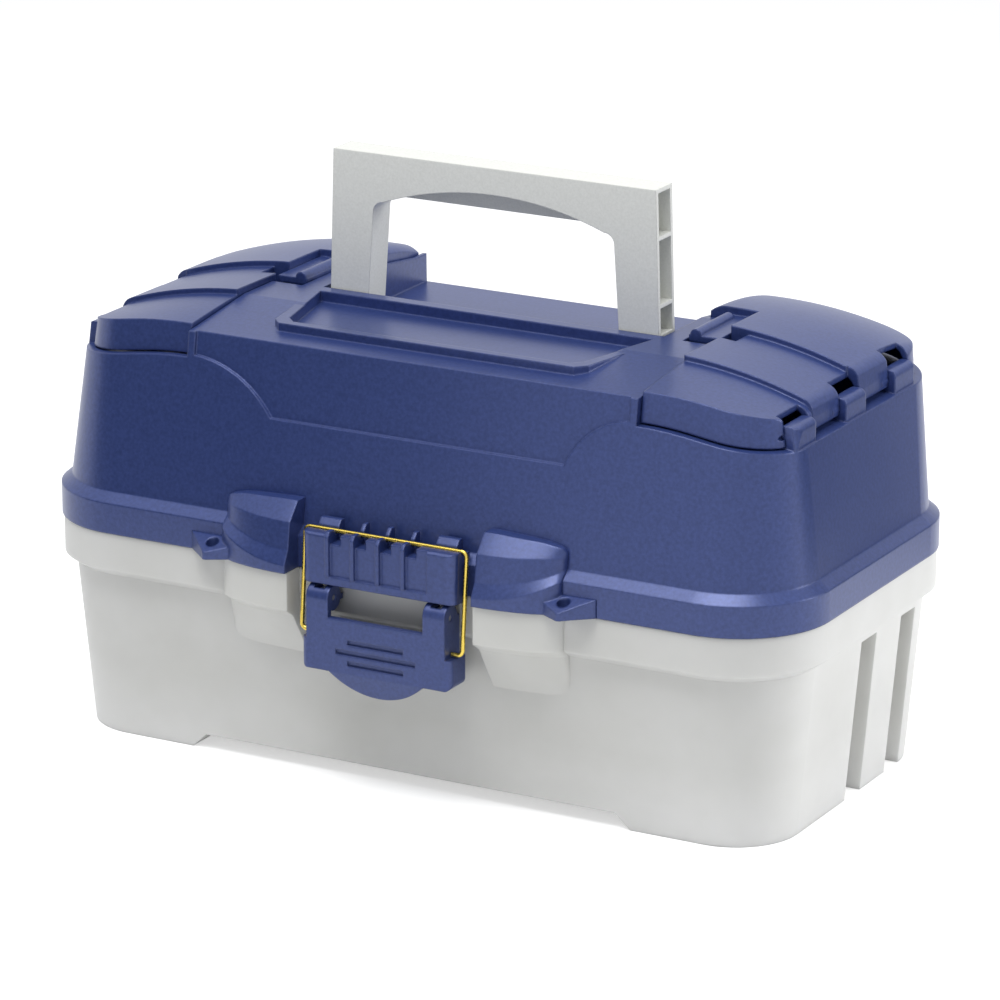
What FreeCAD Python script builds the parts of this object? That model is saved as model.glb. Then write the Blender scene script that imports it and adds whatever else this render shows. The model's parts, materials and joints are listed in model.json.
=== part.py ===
"""Portable tackle box with a hinged lid, two lift-out trays and two top access lids.

X runs along the box, the front with the latch faces -Y and +Z is up. The origin lies on
the floor under the middle of the box. All lengths are millimetres.
"""
import FreeCAD, Part
import Sketcher
import math
import os

Vector = FreeCAD.Vector
Rotation = FreeCAD.Rotation
Placement = FreeCAD.Placement

doc = FreeCAD.newDocument("TackleBox")
sheet = doc.addObject("Spreadsheet::Sheet", "Sizes")
pieces = []


class Size:
    """A size, or sizes worked out from others: its value now and the formula that keeps it."""

    def __init__(self, value, text):
        self.value = float(value)
        self.text = text

    def joined(self, other, sign, turned=False):
        if not isinstance(other, Size):
            other = Size(other, repr(other))
        first, second = (other, self) if turned else (self, other)
        if sign == "+":
            value = first.value + second.value
        elif sign == "-":
            value = first.value - second.value
        elif sign == "*":
            value = first.value * second.value
        else:
            value = first.value / second.value
        return Size(value, f"({first.text} {sign} {second.text})")

    def __add__(self, other):
        return self.joined(other, "+")

    def __sub__(self, other):
        return self.joined(other, "-")

    def __mul__(self, other):
        return self.joined(other, "*")

    def __rmul__(self, other):
        return self.joined(other, "*", turned=True)

    def __truediv__(self, other):
        return self.joined(other, "/")

    def __neg__(self):
        return Size(-self.value, f"(-{self.text})")


def root(size):
    return Size(math.sqrt(size.value), f"sqrt({size.text})")


def angle_of(rise, run):
    """The slope's angle in degrees."""
    ratio = rise / run
    return Size(math.degrees(math.atan(ratio.value)), f"atan({ratio.text})")


ZERO = Size(0, "0")

# Every size in millimetres, apart from the counts. Each is one cell of the sheet.
SIZES = {
    # The outside of the box
    "rim_half_length": 181.0,  # half length over the lid flange
    "rim_half_width": 91.0,  # half width over the lid flange
    "rim_corner": 41.6,  # corner radius of the lid flange
    "rim_height": 94.4,  # height of the underside of the lid flange
    "rim_gap": 0.3,  # gap between the base and the lid flange
    "flange_height": 13.4,  # height of the upright face of the lid flange
    "ledge_width": 4.7,  # width of the sloped ledge above the flange
    "ledge_rise": 3.9,  # rise of that ledge
    "lid_rise": 80.2,  # rise from the flange's underside to the seam of the access lids
    "seam_gap": 0.4,  # gap between an access lid and the deck beside it
    "cover_inset": 3.2,  # width of the ledge round an access lid
    "cover_gap": 0.8,  # gap between an access lid and that ledge
    "ledge_low": 1.2,  # how far that ledge lies under the seam beside the deck
    "ledge_bend": 22.0,  # length of the bend where the ledge starts to fall
    "ledge_bend_drop": 1.48,  # fall of the ledge over that bend
    "ledge_bend_bulge": 0.37,  # bulge of that bend
    "ledge_end_drop": 9.3,  # fall of the ledge at its very end
    "end_floor_drop": 11.6,  # how far the top is solid under the seam beside the compartments
    "seam_draw_x": 12.5,  # how far the end wall has drawn in at the seam
    "seam_draw_y": 14.5,  # how far the front wall has drawn in at the seam
    "seam_draw_rear": 6.0,  # how far the rear wall has drawn in at the seam
    "roof_room": 25.4,  # room over the seam for the crowned top
    "lid_wall": 2.4,  # wall of the lid shell
    "overrun": 5.0,  # how far a cutting tool runs past what it cuts
    "foot_overrun": 1.0,  # how far a cutting tool runs below the floor
    # The base
    "base_wall": 2.2,  # wall of the base
    "band_draw": 0.8,  # how far the shoulder band stands inside the flange
    "band_height": 16.9,  # height of the shoulder band
    "band_slope": 3.5,  # height of the slope under the shoulder band
    "band_step": 5.2,  # how far the wall steps in under the band
    "foot_draw": 12.7,  # how far the wall has drawn in at the feet
    "floor_thickness": 3.0,  # floor of the base
    "foot_height": 6.5,  # height of the feet
    "foot_length": 75.0,  # length of the feet from the ends
    "foot_slope": 7.0,  # length of the slope at the start of a foot
    "channel_inset": 20.5,  # how far the end channels' floor lies inside the flange
    "channel_drop": 6.5,  # how far the end channels stop under the shoulder band
    "channel_a_front": -4.0,  # front edge of the first end channel
    "channel_a_width": 15.0,  # width of the first end channel
    "channel_b_front": 35.0,  # front edge of the second end channel
    "channel_b_width": 14.0,  # width of the second end channel
    # The crowned top
    "deck_front_rise": 9.7,  # rise of the middle deck's front edge over the seam
    "deck_rise": 15.4,  # rise of the middle deck beside the handle
    "deck_inset": 15.5,  # how far the deck's front edge lies inside the flange
    "front_panel_low": 11.6,  # rise of the front panel at its front edge
    "deck_break_y": 30.0,  # distance where the deck levels out
    "step_one_y": 35.0,  # distance in front of the first step of an access lid
    "step_two_y": 8.0,  # distance behind the middle of the second step
    "step_three_y": 33.0,  # distance behind the middle where the rear starts to fall
    "rear_middle_y": 58.0,  # distance of the middle of the rear fall
    "rear_end_y": 84.0,  # distance of the end of the rear fall
    "front_panel_high": 16.4,  # rise of the front panel at the first step
    "second_panel_low": 18.7,  # rise of the second panel at the first step
    "second_panel_high": 18.2,  # rise of the second panel at the next step
    "third_panel_low": 20.8,  # rise of the third panel at its front
    "third_panel_high": 20.5,  # rise of the third panel where its rear starts to fall
    "rear_panel_low": 18.7,  # rise of the rear fall in its middle
    "rear_panel_high": 12.6,  # rise of the rear fall at its back
    "end_crown_length": 86.0,  # length of the fall of the access lids towards the ends
    "end_crown_radius": 200.0,  # radius of the fall towards the ends
    "front_crown_length": 69.0,  # length of that fall along the front edge
    "side_round": 7.0,  # radius of the upper edge over the hinge side
    "tongue_round": 7.5,  # length of the rounding at the inner end of the tongue
    "tongue_fall": 3.0,  # fall of the top over that rounding
    # The recess for the handle and the shallow tray in front of it
    "recess_gap": 2.7,  # gap between the handle's foot and the end of its recess
    "recess_sink": 3.1,  # how far the recess floor lies under the seam
    "recess_front_gap": 0.8,  # gap between the handle and the front of its recess
    "dish_front_y": -57.5,  # front edge of the shallow dish
    "dish_rear_y": -10.5,  # rear edge of the shallow dish
    "dish_half_front": 70.0,  # half length of the dish at its front
    "dish_half_rear": 80.0,  # half length of the dish at its rear
    "dish_depth": 4.8,  # depth of the dish under the middle deck
    "border_width": 4.5,  # width of the raised border round the dish
    "border_rise": 15.0,  # rise of the raised border over the seam
    # The access compartments
    "access_length": 74.4,  # length of an access lid with the wall beside it
    "tongue_length": 22.6,  # length of the rear tongue of an access lid
    "part_rear_y": 34.0,  # where that rear tongue starts
    "bin_depth": 39.6,  # depth of a compartment under the seam
    "bin_wall": 2.0,  # wall of a compartment
    "bin_inset": 5.4,  # inset of a compartment's inner wall from the lid's edge
    "bin_end_inset": 22.5,  # inset of a compartment's outer wall from the flange
    "bin_corner": 16.0,  # corner radius of a compartment
    "bin_front_inset": 21.0,  # inset of a compartment's front wall from the flange
    "bin_rear_inset": 31.0,  # inset of a compartment's rear wall from the flange
    "lid_skin": 2.2,  # thickness of an access lid
    "access_axis_inset": 17.8,  # inset of an access lid's hinge axis from the flange
    "access_axis_drop": 2.6,  # how far that axis lies under the seam
    "access_pin_radius": 1.0,  # radius of an access lid's pin
    "knuckle_inset": 20.8,  # inset of a knuckle's inner side from the flange
    "knuckle_rise": 1.8,  # rise of a knuckle over the seam
    "knuckle_round": 3.0,  # radius of a knuckle's upper edges
    "pin_cover": 2.5,  # length of the first knuckle that covers the pin's end
    "knuckle_length": 18.6,  # length of those knuckles
    "knuckle_front_y": -57.4,  # front end of the first knuckle
    "knuckle_pitch": 47.4,  # distance from one knuckle to the next
    "ear_radius": 2.4,  # radius of an access lid's hinge eyes
    "ear_length": 6.0,  # length of those eyes
    "ear_gap": 0.5,  # gap between an eye and a knuckle
    "skirt_lift": 1.6,  # how much higher the lid's edge is on the hinge side
    "tab_front_y": -1.5,  # front end of the finger tab
    "tab_rear_y": 29.0,  # rear end of the ridge on the finger tab
    "tab_reach": 14.6,  # how far the finger tab reaches over the deck
    "tab_rise": 14.0,  # rise of the finger tab's underside over the seam
    "tab_thick": 3.0,  # thickness of the finger tab
    "tab_ridge": 2.6,  # radius of the ridge on the tab
    "ridge_inset": 3.2,  # distance of the ridge from the free edge of the tab
    "cup_length": 7.8,  # length of the finger cup in an access lid
    "cup_front_y": -3.0,  # front end of that cup
    "cup_depth": 8.0,  # depth of that cup under the second panel
    "finger_length": 5.0,  # length of the finger dip before the tab
    "finger_depth": 4.0,  # depth of the finger dip
    # The rear hinge
    "hinge_radius": 4.5,  # radius of the rear knuckles
    "hinge_reach": 8.7,  # how far the rear hinge axis stands out of the flange
    "hinge_pin_radius": 1.5,  # radius of the rear hinge pins
    "hinge_inset": 77.0,  # inset of a rear hinge's middle from the end of the flange
    "hinge_length": 20.0,  # length of a rear knuckle
    "hinge_gap": 0.4,  # gap between two rear knuckles
    "web_height": 8.0,  # height of the web that carries a rear knuckle
    "run_fit": 0.05,  # radial clearance of a pin in its hole
    # The handle
    "handle_front_y": -3.6,  # front face of the handle
    "handle_depth": 14.6,  # depth of the handle
    "handle_height": 71.6,  # height of the handle over its axis
    "handle_half_top": 77.1,  # half length of the handle at its top
    "handle_half_foot": 79.3,  # half length of the handle at its foot
    "grip_half_top": 57.5,  # half length of the hand opening at its top
    "grip_half_foot": 60.9,  # half length of the hand opening at its foot
    "grip_height": 21.0,  # height of the grip
    "grip_arch": 9.6,  # rise of the arch of the front plate of the grip
    "grip_corner": 4.5,  # corner radius of the hand opening
    "handle_skin": 2.0,  # thickness of the handle's plates
    "handle_rib": 1.8,  # thickness of the handle's ribs
    "rib_rise": 20.7,  # rise of the lower rib in each leg over the axis
    "rib_drop": 22.0,  # how far the upper rib lies under the handle's top
    "pocket_rise": 9.5,  # rise of the start of a leg's channel over the axis
    "handle_axis_y": 3.7,  # distance of the handle's axis
    "axis_rise": 8.5,  # rise of the handle's axis over the recess floor
    "stub_radius": 3.2,  # radius of the handle's pivot stubs
    "stub_length": 5.5,  # length of those stubs
    # The latch
    "catch_half": 36.4,  # half length of the catch on the lid
    "catch_reach": 10.8,  # how far the catch stands out of the flange
    "catch_hang": 1.6,  # how far the catch hangs below the flange
    "catch_rise": 18.7,  # rise of the catch's top under the bail
    "catch_round": 4.0,  # radius of the catch's upright front corners
    "catch_lip": 1.4,  # height of the lip in front of the bail
    "catch_bevel": 1.0,  # bevel along the top of the catch's front face
    "catch_rib_count": 4,  # number of ribs on the catch
    "catch_rib_pitch": 12.0,  # distance between the ribs of the catch
    "catch_rib_first": -24.0,  # place of the first rib
    "catch_rib_width": 1.8,  # width of the ribs of the catch
    "catch_rib_proud": 0.6,  # how far a rib stands out of the catch's front face
    "catch_rib_foot": 3.6,  # height of the plain strip under the ribs
    "catch_rib_crest": 1.1,  # how far a rib rises over the lip
    "catch_panel_depth": 1.1,  # depth of the panels between the ribs
    "catch_notch_width": 5.0,  # width of the notch beside each rib
    "catch_notch_depth": 4.2,  # depth of that notch
    "catch_rear_rise": 5.0,  # height of the ribs and blocks behind the bail
    "catch_rear_half": 33.0,  # outer end of the two blocks behind the bail
    "bail_half": 38.3,  # half length of the bail on its wire's centre
    "bail_reach": 3.6,  # how far the bail's bar stands out of the flange
    "bail_foot_reach": 7.6,  # how far the bail's feet stand out of the flange
    "bail_foot_drop": 15.6,  # how far the bail's feet lie under the lever's axis
    "bail_wire": 0.95,  # radius of the bail's wire
    "bail_bend": 2.4,  # bend radius of the bail's corners
    "bail_gap": 0.35,  # gap between the bail and what lies beside it
    "lever_reach": 13.2,  # how far the lever stands out of the flange
    "lever_depth": 12.9,  # depth of the lever
    "lever_eye": 5.5,  # radius of the rounded top of the lever's arms
    "lever_plate": 3.0,  # thickness of the lever's front plate and sides
    "lever_corner": 3.0,  # size of the lever's cut corners
    "lever_axis_drop": 7.9,  # how far the lever's axis lies under the flange
    "lever_drop": 30.5,  # how far the lever reaches below its axis
    "lever_half": 35.6,  # half length of the lever's lower part
    "arm_half": 32.9,  # half length of the lever over its two arms
    "window_half": 22.6,  # half length of the window between the arms
    "window_drop": 7.2,  # how far the window reaches below the lever's axis
    "thumb_half": 22.3,  # half length of the thumb tab
    "thumb_reach": 9.6,  # how far the thumb tab hangs down
    "thumb_slope": 3.0,  # how far the thumb tab slopes back at its tip
    "groove_half": 19.0,  # half length of the middle grip groove
    "groove_height": 2.2,  # height of a grip groove
    "groove_pitch": 4.6,  # distance between the grip grooves
    "groove_depth": 1.2,  # depth of a grip groove
    "groove_rise": 9.2,  # rise of the middle grip groove over the lever's bottom
    "latch_pin_radius": 1.3,  # radius of the lever's pins
    "arm_wall": 2.6,  # side walls of the lever's arms, which hold the pins
    "lug_gap": 0.4,  # gap between a lug and the walls of the lever's arm
    "lug_height": 5.6,  # height of a lug
    # The domes and padlock ears on the flange
    "dome_inner_x": 44.3,  # inner side of a dome
    "dome_length": 36.5,  # length of a dome
    "dome_rise": 11.4,  # height of a dome over the ledge
    "dome_crest": 4.5,  # how far the top of a dome stands out of the wall
    "dome_reach": 13.0,  # how far the ledge swings out at a dome's inner side
    "dome_drop": 8.0,  # how far the ledge drops there
    "dome_lip_reach": 11.4,  # how far the flange's face swings out there
    "dome_lip_drop": 9.8,  # how far the top of that face drops there
    "dome_shoulder": 1.8,  # how far a dome's shoulder lies behind the ledge
    "bulge_drop": 42.4,  # how far the bulge of the base under a dome reaches down
    "ear_hole_x": 83.6,  # distance of a tie hole from the middle
    "ear_hole_reach": 4.4,  # how far a tie hole stands out of the flange
    "ear_hole_radius": 2.8,  # radius of a tie hole
    "ear_corner_x": 85.6,  # front corner of an ear, from the middle
    "ear_reach": 10.6,  # how far an ear stands out of the flange
    "ear_inner_x": 64.0,  # inner end of an ear
    "ear_outer_x": 96.6,  # outer end of an ear
    "ear_root_height": 8.0,  # height of an ear at the flange
    "ear_tip_height": 3.4,  # height of an ear at its front corner
    # The relief on the front wall
    "relief_depth": 1.5,  # depth of the panel let into the front wall
    "relief_drop": 21.4,  # how far that panel reaches below the seam
    "relief_inset": 3.6,  # inset of the panel's upper end from the access lid
    "relief_half_low": 64.0,  # half length of its lower edge
    "relief_shift": 11.0,  # how far the panel's lower edge runs further to the right
    "relief_bulge": 5.0,  # bulge of its curved ends
    # The trays and their arms
    "tray_inset": 31.0,  # inset of a tray's end from the flange
    "tray_front_inset": 14.0,  # inset of a tray's front from the flange
    "tray_rear_inset": 39.0,  # inset of a tray's rear from the flange
    "tray_height": 24.0,  # height of a tray
    "tray_drop": 16.4,  # how far the lower tray's underside lies under the flange
    "tray_pitch": 27.0,  # rise from the lower tray to the upper tray
    "tray_skin": 1.8,  # wall of a tray
    "tray_corner": 8.0,  # corner radius of a tray
    "tray_row_y": -14.0,  # distance of the long rib in a tray
    "divider_thick": 1.4,  # thickness of a divider
    "divider_gap": 0.2,  # gap round a divider
    "divider_drop": 1.5,  # how far a divider stays below the tray's edge
    "divider_count": 5,  # number of dividers in a row
    "slot_rib": 1.2,  # thickness of the ribs that hold a divider
    "slot_reach": 2.4,  # how far those ribs reach into the tray
    "pivot_step_y": 45.0,  # distance from the lower to the upper tray's pivot
    "pivot_share": 1.2,  # lower part of an arm as a share of its upper part
    "pivot_inset": 7.0,  # inset of the front arm's upper pivot from the tray's front
    "pivot_height": 12.0,  # height of a tray's pivots over its underside
    "arm_spread": 43.0,  # distance between the front and the rear arm
    "arm_width": 10.0,  # width of an arm
    "arm_thick": 2.0,  # thickness of an arm
    "arm_gap": 1.2,  # gap between a tray and an arm
    "rivet_radius": 2.0,  # radius of an arm's rivets
    "rivet_head": 3.6,  # radius of a rivet's head
    "rivet_head_thick": 1.0,  # thickness of a rivet's head
    "boss_radius": 5.0,  # radius of the bosses that carry the arms
}


class Sizes:
    """Each size by its name: its value, and the formula that reads its cell."""

    def __getattr__(self, alias):
        return Size(SIZES[alias], f"Sizes.{alias}")


s = Sizes()
for row, (alias, value) in enumerate(SIZES.items(), 1):
    sheet.set(f"A{row}", alias)
    sheet.set(f"B{row}", str(value))
    sheet.setAlias(f"B{row}", alias)

# Places worked out from those sizes
seam_height = s.rim_height + s.lid_rise
roof_height = seam_height + s.roof_room
band_bottom = s.rim_height - s.band_height
foot_start = s.rim_half_length - s.foot_length
channel_depth_at = s.rim_half_length - s.channel_inset
channel_top = band_bottom - s.channel_drop
deck_front = seam_height + s.deck_front_rise
deck_middle = seam_height + s.deck_rise
deck_front_y = s.rim_half_width - s.deck_inset
lid_front_high = seam_height + s.front_panel_high
lid_second_low = seam_height + s.second_panel_low
lid_second_high = seam_height + s.second_panel_high
lid_third_low = seam_height + s.third_panel_low
lid_third_high = seam_height + s.third_panel_high
lid_rear_low = seam_height + s.rear_panel_low
lid_rear_high = seam_height + s.rear_panel_high
lid_front_low = seam_height + s.front_panel_low
end_crown_start = s.rim_half_length - s.end_crown_length
front_crown_start = s.rim_half_length - s.front_crown_length
end_floor = seam_height - s.end_floor_drop
recess_half = s.handle_half_foot + s.recess_gap
recess_floor = seam_height - s.recess_sink
recess_front_y = s.handle_front_y - s.recess_front_gap
dish_floor = deck_middle - s.dish_depth
border_height = seam_height + s.border_rise
part_x = s.rim_half_length - s.access_length
part_rear_x = part_x - s.tongue_length
bin_floor = seam_height - s.bin_depth
bin_inner_x = part_x + s.bin_inset
bin_outer_x = s.rim_half_length - s.bin_end_inset
bin_half_front = s.rim_half_width - s.bin_front_inset
bin_half_rear = s.rim_half_width - s.bin_rear_inset
access_axis_x = s.rim_half_length - s.access_axis_inset
access_axis_z = seam_height - s.access_axis_drop
tab_bottom = seam_height + s.tab_rise
tab_top = tab_bottom + s.tab_thick
hinge_y = s.rim_half_width + s.hinge_reach
hinge_centre = s.rim_half_length - s.hinge_inset
handle_axis_z = recess_floor + s.axis_rise
catch_front_y = -(s.rim_half_width + s.catch_reach)
catch_bottom = s.rim_height - s.catch_hang
catch_top = s.rim_height + s.catch_rise
bail_bar_y = -(s.rim_half_width + s.bail_reach)
bail_foot_y = -(s.rim_half_width + s.bail_foot_reach)
lever_front_y = -(s.rim_half_width + s.lever_reach)
lever_axis_z = s.rim_height - s.lever_axis_drop
lever_bottom = lever_axis_z - s.lever_drop
window_bottom = lever_axis_z - s.window_drop
groove_middle = lever_bottom + s.groove_rise
bulge_bottom = s.rim_height - s.bulge_drop
ear_hole_y = -(s.rim_half_width + s.ear_hole_reach)
ear_front_y = -(s.rim_half_width + s.ear_reach)
relief_bottom = seam_height - s.relief_drop
relief_half_top = part_x - s.relief_inset
tray_half = s.rim_half_length - s.tray_inset
tray_front_y = s.tray_front_inset - s.rim_half_width
tray_rear_y = s.rim_half_width - s.tray_rear_inset
tray_bottom = s.rim_height - s.tray_drop
pivot_front_y = tray_front_y + s.pivot_inset
bail_bar_z = catch_top + s.bail_wire + s.bail_gap
cup_top = end_floor
knuckle_x = s.rim_half_length - s.knuckle_inset
knuckle_top = seam_height + s.knuckle_rise
handle_top = handle_axis_z + s.handle_height
grip_under = handle_top - s.grip_height
rib_low = handle_axis_z + s.rib_rise
rib_high = handle_top - s.rib_drop
pocket_foot = handle_axis_z + s.pocket_rise
bail_foot_z = lever_axis_z - s.bail_foot_drop

doc.recompute()


def set_formulas(thing, **formulas):
    for name, formula in formulas.items():
        thing.setExpression(name, formula.text)


def place(thing, x=ZERO, y=ZERO, z=ZERO):
    thing.setExpression("Placement.Base.x", x.text)
    thing.setExpression("Placement.Base.y", y.text)
    thing.setExpression("Placement.Base.z", z.text)


PLANES = {
    "XY": Rotation(),
    "XZ": Rotation(Vector(1, 0, 0), 90),
    "YZ": Rotation(Vector(0, 1, 0), Vector(0, 0, 1), Vector(1, 0, 0), "ZXY"),
}


def arc_centre(start, end, bulge):
    """Centre of an arc from its two ends and how far it bulges out."""
    across = end[0] - start[0]
    along = end[1] - start[1]
    chord = root(across * across + along * along)
    shift = (bulge / 2 - chord * chord / (8 * bulge)) / chord
    return ((start[0] + end[0]) / 2 + along * shift, (start[1] + end[1]) / 2 - across * shift)


def tie_point(sketch, edge, point, x, y):
    for kind, size in (("DistanceX", x), ("DistanceY", y)):
        tie = sketch.addConstraint(Sketcher.Constraint(kind, -1, 1, edge, point, size.value))
        sketch.setExpression(f"Constraints[{tie}]", size.text)


def tie_centre(sketch, edge, start, end):
    """Fixes an arc's bulge by the one coordinate of its centre that moves most with it."""
    x, y = arc_centre(start, end, start[2])
    upright = abs((end[1] - start[1]).value) > abs((end[0] - start[0]).value)
    kind, size = ("DistanceX", x) if upright else ("DistanceY", y)
    tie = sketch.addConstraint(Sketcher.Constraint(kind, -1, 1, edge, 3, size.value))
    sketch.setExpression(f"Constraints[{tie}]", size.text)


def draw_outline(sketch, points):
    """A closed outline. A point with a third size starts an arc that bulges out by it."""
    starts = []
    for place_in_list, point in enumerate(points):
        after = points[(place_in_list + 1) % len(points)]
        first = Vector(point[0].value, point[1].value, 0)
        last = Vector(after[0].value, after[1].value, 0)
        if len(point) == 3:
            run = last - first
            aside = Vector(run.y, -run.x, 0).normalize() * point[2].value
            middle = (first + last) / 2 + aside
            outward = point[2].value > 0
            curve = Part.Arc(first, middle, last) if outward else Part.Arc(last, middle, first)
            sketch.addGeometry(curve, False)
            starts.append(1 if outward else 2)
        else:
            sketch.addGeometry(Part.LineSegment(first, last), False)
            starts.append(1)
    for edge, start in enumerate(starts):
        after = (edge + 1) % len(starts)
        sketch.addConstraint(Sketcher.Constraint("Coincident", edge, 3 - start, after, starts[after]))
    for edge, point in enumerate(points):
        tie_point(sketch, edge, starts[edge], point[0], point[1])
        if len(point) == 3:
            tie_centre(sketch, edge, point, points[(edge + 1) % len(points)])


def outline(name, plane, points):
    sketch = doc.addObject("Sketcher::SketchObject", name)
    sketch.Placement = Placement(Vector(), PLANES[plane])
    draw_outline(sketch, points)
    return sketch


def draw_rounded(sketch, half_x, half_y, corner):
    """A rectangle with round corners about the origin."""
    x = half_x.value
    y = half_y.value
    r = corner.value
    ends = [(-x + r, -y, x - r, -y), (x, -y + r, x, y - r), (x - r, y, -x + r, y), (-x, y - r, -x, -y + r)]
    for x0, y0, x1, y1 in ends:
        sketch.addGeometry(Part.LineSegment(Vector(x0, y0, 0), Vector(x1, y1, 0)), False)
    for side, (cx, cy) in enumerate([(x - r, -y + r), (x - r, y - r), (-x + r, y - r), (-x + r, -y + r)]):
        circle = Part.Circle(Vector(cx, cy, 0), Vector(0, 0, 1), r)
        start = math.pi * (side - 1) / 2
        sketch.addGeometry(Part.ArcOfCircle(circle, start, start + math.pi / 2), False)
    for side in range(4):
        sketch.addConstraint(Sketcher.Constraint("Tangent", side, 2, side + 4, 1))
        sketch.addConstraint(Sketcher.Constraint("Tangent", side + 4, 2, (side + 1) % 4, 1))
        sketch.addConstraint(Sketcher.Constraint("Vertical" if side % 2 else "Horizontal", side))
        if side:
            sketch.addConstraint(Sketcher.Constraint("Equal", 4, side + 4))
    for kind, side, size in (("DistanceY", 0, -half_y), ("DistanceX", 1, half_x),
                             ("DistanceY", 2, half_y), ("DistanceX", 3, -half_x)):
        tie = sketch.addConstraint(Sketcher.Constraint(kind, -1, 1, side, 1, size.value))
        sketch.setExpression(f"Constraints[{tie}]", size.text)
    tie = sketch.addConstraint(Sketcher.Constraint("Radius", 4, r))
    sketch.setExpression(f"Constraints[{tie}]", corner.text)


def rounded(name, half_x, half_y, corner, z, x=ZERO, y=ZERO):
    sketch = doc.addObject("Sketcher::SketchObject", name)
    draw_rounded(sketch, half_x, half_y, corner)
    place(sketch, x, y, z)
    return sketch


def rim_section(name, draw_x, draw_y, z):
    """The flange's outline drawn in on every side."""
    return rounded(name, s.rim_half_length - draw_x, s.rim_half_width - draw_y,
                   s.rim_corner - (draw_x + draw_y) / 2, z)


def loft(name, sections, ruled=True):
    solid = doc.addObject("Part::Loft", name)
    solid.Sections = sections
    solid.Solid = True
    solid.Ruled = ruled
    return solid


def extrude(name, sketch, plane, length, start=ZERO):
    """The sketch moved to start and drawn out along its plane's axis, towards + on that axis."""
    axis = {"XY": Vector(0, 0, 1), "XZ": Vector(0, 1, 0), "YZ": Vector(1, 0, 0)}[plane]
    solid = doc.addObject("Part::Extrusion", name)
    solid.Base = sketch
    solid.DirMode = "Custom"
    solid.Dir = axis
    solid.Solid = True
    solid.setExpression("LengthFwd", length.text)
    letter = {"XY": "z", "XZ": "y", "YZ": "x"}[plane]
    sketch.setExpression(f"Placement.Base.{letter}", start.text)
    return solid


def box(name, low, high):
    """A box from its low corner to its high corner."""
    solid = doc.addObject("Part::Box", name)
    set_formulas(solid, Length=high[0] - low[0], Width=high[1] - low[1], Height=high[2] - low[2])
    place(solid, *low)
    return solid


def rod(name, axis, start, radius, length):
    """A round rod that starts at a point and runs along X, Y or Z."""
    turns = {"X": Rotation(Vector(0, 1, 0), 90), "Y": Rotation(Vector(1, 0, 0), -90), "Z": Rotation()}
    solid = doc.addObject("Part::Cylinder", name)
    solid.Placement = Placement(Vector(), turns[axis])
    set_formulas(solid, Radius=radius, Height=length)
    place(solid, *start)
    return solid


def fuse(name, solids):
    if len(solids) == 1:
        return solids[0]
    joined = doc.addObject("Part::MultiFuse", name)
    joined.Shapes = solids
    return joined


def cut(name, solid, tools):
    left = doc.addObject("Part::Cut", name)
    left.Base = solid
    left.Tool = fuse(name + "_tools", tools)
    return left


def common(name, solids):
    """What all the solids share, taken two at a time."""
    shared = solids[0]
    for number, solid in enumerate(solids[1:]):
        both = doc.addObject("Part::Common", f"{name}_{number}")
        both.Base = shared
        both.Tool = solid
        shared = both
    return shared


def mirrored(name, solid):
    """The same solid on the other side of the middle of the box."""
    other = doc.addObject("Part::Mirroring", name)
    other.Source = solid
    other.Normal = Vector(1, 0, 0)
    other.Base = Vector(0, 0, 0)
    return other


def both_sides(name, solid):
    return [solid, mirrored(name + "_other_side", solid)]


def keep(node, solid):
    """Names a finished piece."""
    solid.Label = node
    pieces.append((node, solid))
    return solid


def body(name):
    return doc.addObject("PartDesign::Body", name)


def sketch_on(owner, name, role):
    """A sketch on one of the body's own planes."""
    sketch = owner.newObject("Sketcher::SketchObject", name)
    plane = [feature for feature in owner.Origin.OriginFeatures if feature.Role == role][0]
    sketch.AttachmentSupport = [(plane, "")]
    sketch.MapMode = "FlatFace"
    return sketch


def raise_sketch(sketch, height):
    """Moves an attached sketch along its own normal."""
    sketch.setExpression("AttachmentOffset.Base.z", height.text)


def pad(owner, name, sketch, length, reverse=False):
    feature = owner.newObject("PartDesign::Pad", name)
    feature.Profile = sketch
    feature.setExpression("Length", length.text)
    feature.Reversed = reverse
    owner.Tip = feature
    return feature


def pocket(owner, name, sketch, depth, reverse=False):
    feature = owner.newObject("PartDesign::Pocket", name)
    feature.Profile = sketch
    feature.setExpression("Length", depth.text)
    feature.Reversed = reverse
    owner.Tip = feature
    return feature


def rectangle(low_x, low_y, high_x, high_y):
    return [(low_x, low_y), (high_x, low_y), (high_x, high_y), (low_x, high_y)]


# The walls of the lid and the base share the flange's outline
full_half = s.rim_half_length + s.overrun
deep_half = s.rim_half_width + 3 * s.overrun
ledge_top = s.rim_height + s.flange_height + s.ledge_rise
# The rounding over the hinge side turns from the fall's slope to upright, about 71 degrees
round_run_share = 0.674
round_drop_share = 0.945
round_bulge_share = 0.186
draw_rate_x = (s.seam_draw_x - s.ledge_width) / (seam_height - ledge_top)
draw_rate_y = (s.seam_draw_y - s.ledge_width) / (seam_height - ledge_top)
draw_rate_rear = (s.seam_draw_rear - s.ledge_width) / (seam_height - ledge_top)


def wall_section(name, z, skin):
    """The lid's drafted wall at a height, drawn in by a skin."""
    rise = z - ledge_top
    draw_x = draw_rate_x * rise + s.ledge_width + skin
    draw_front = draw_rate_y * rise + s.ledge_width + skin
    draw_rear = draw_rate_rear * rise + s.ledge_width + skin
    draw_y = (draw_front + draw_rear) / 2
    return rounded(name, s.rim_half_length - draw_x, s.rim_half_width - draw_y,
                   s.rim_corner - (draw_x + draw_front) / 2, z, ZERO, (draw_front - draw_rear) / 2)


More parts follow.
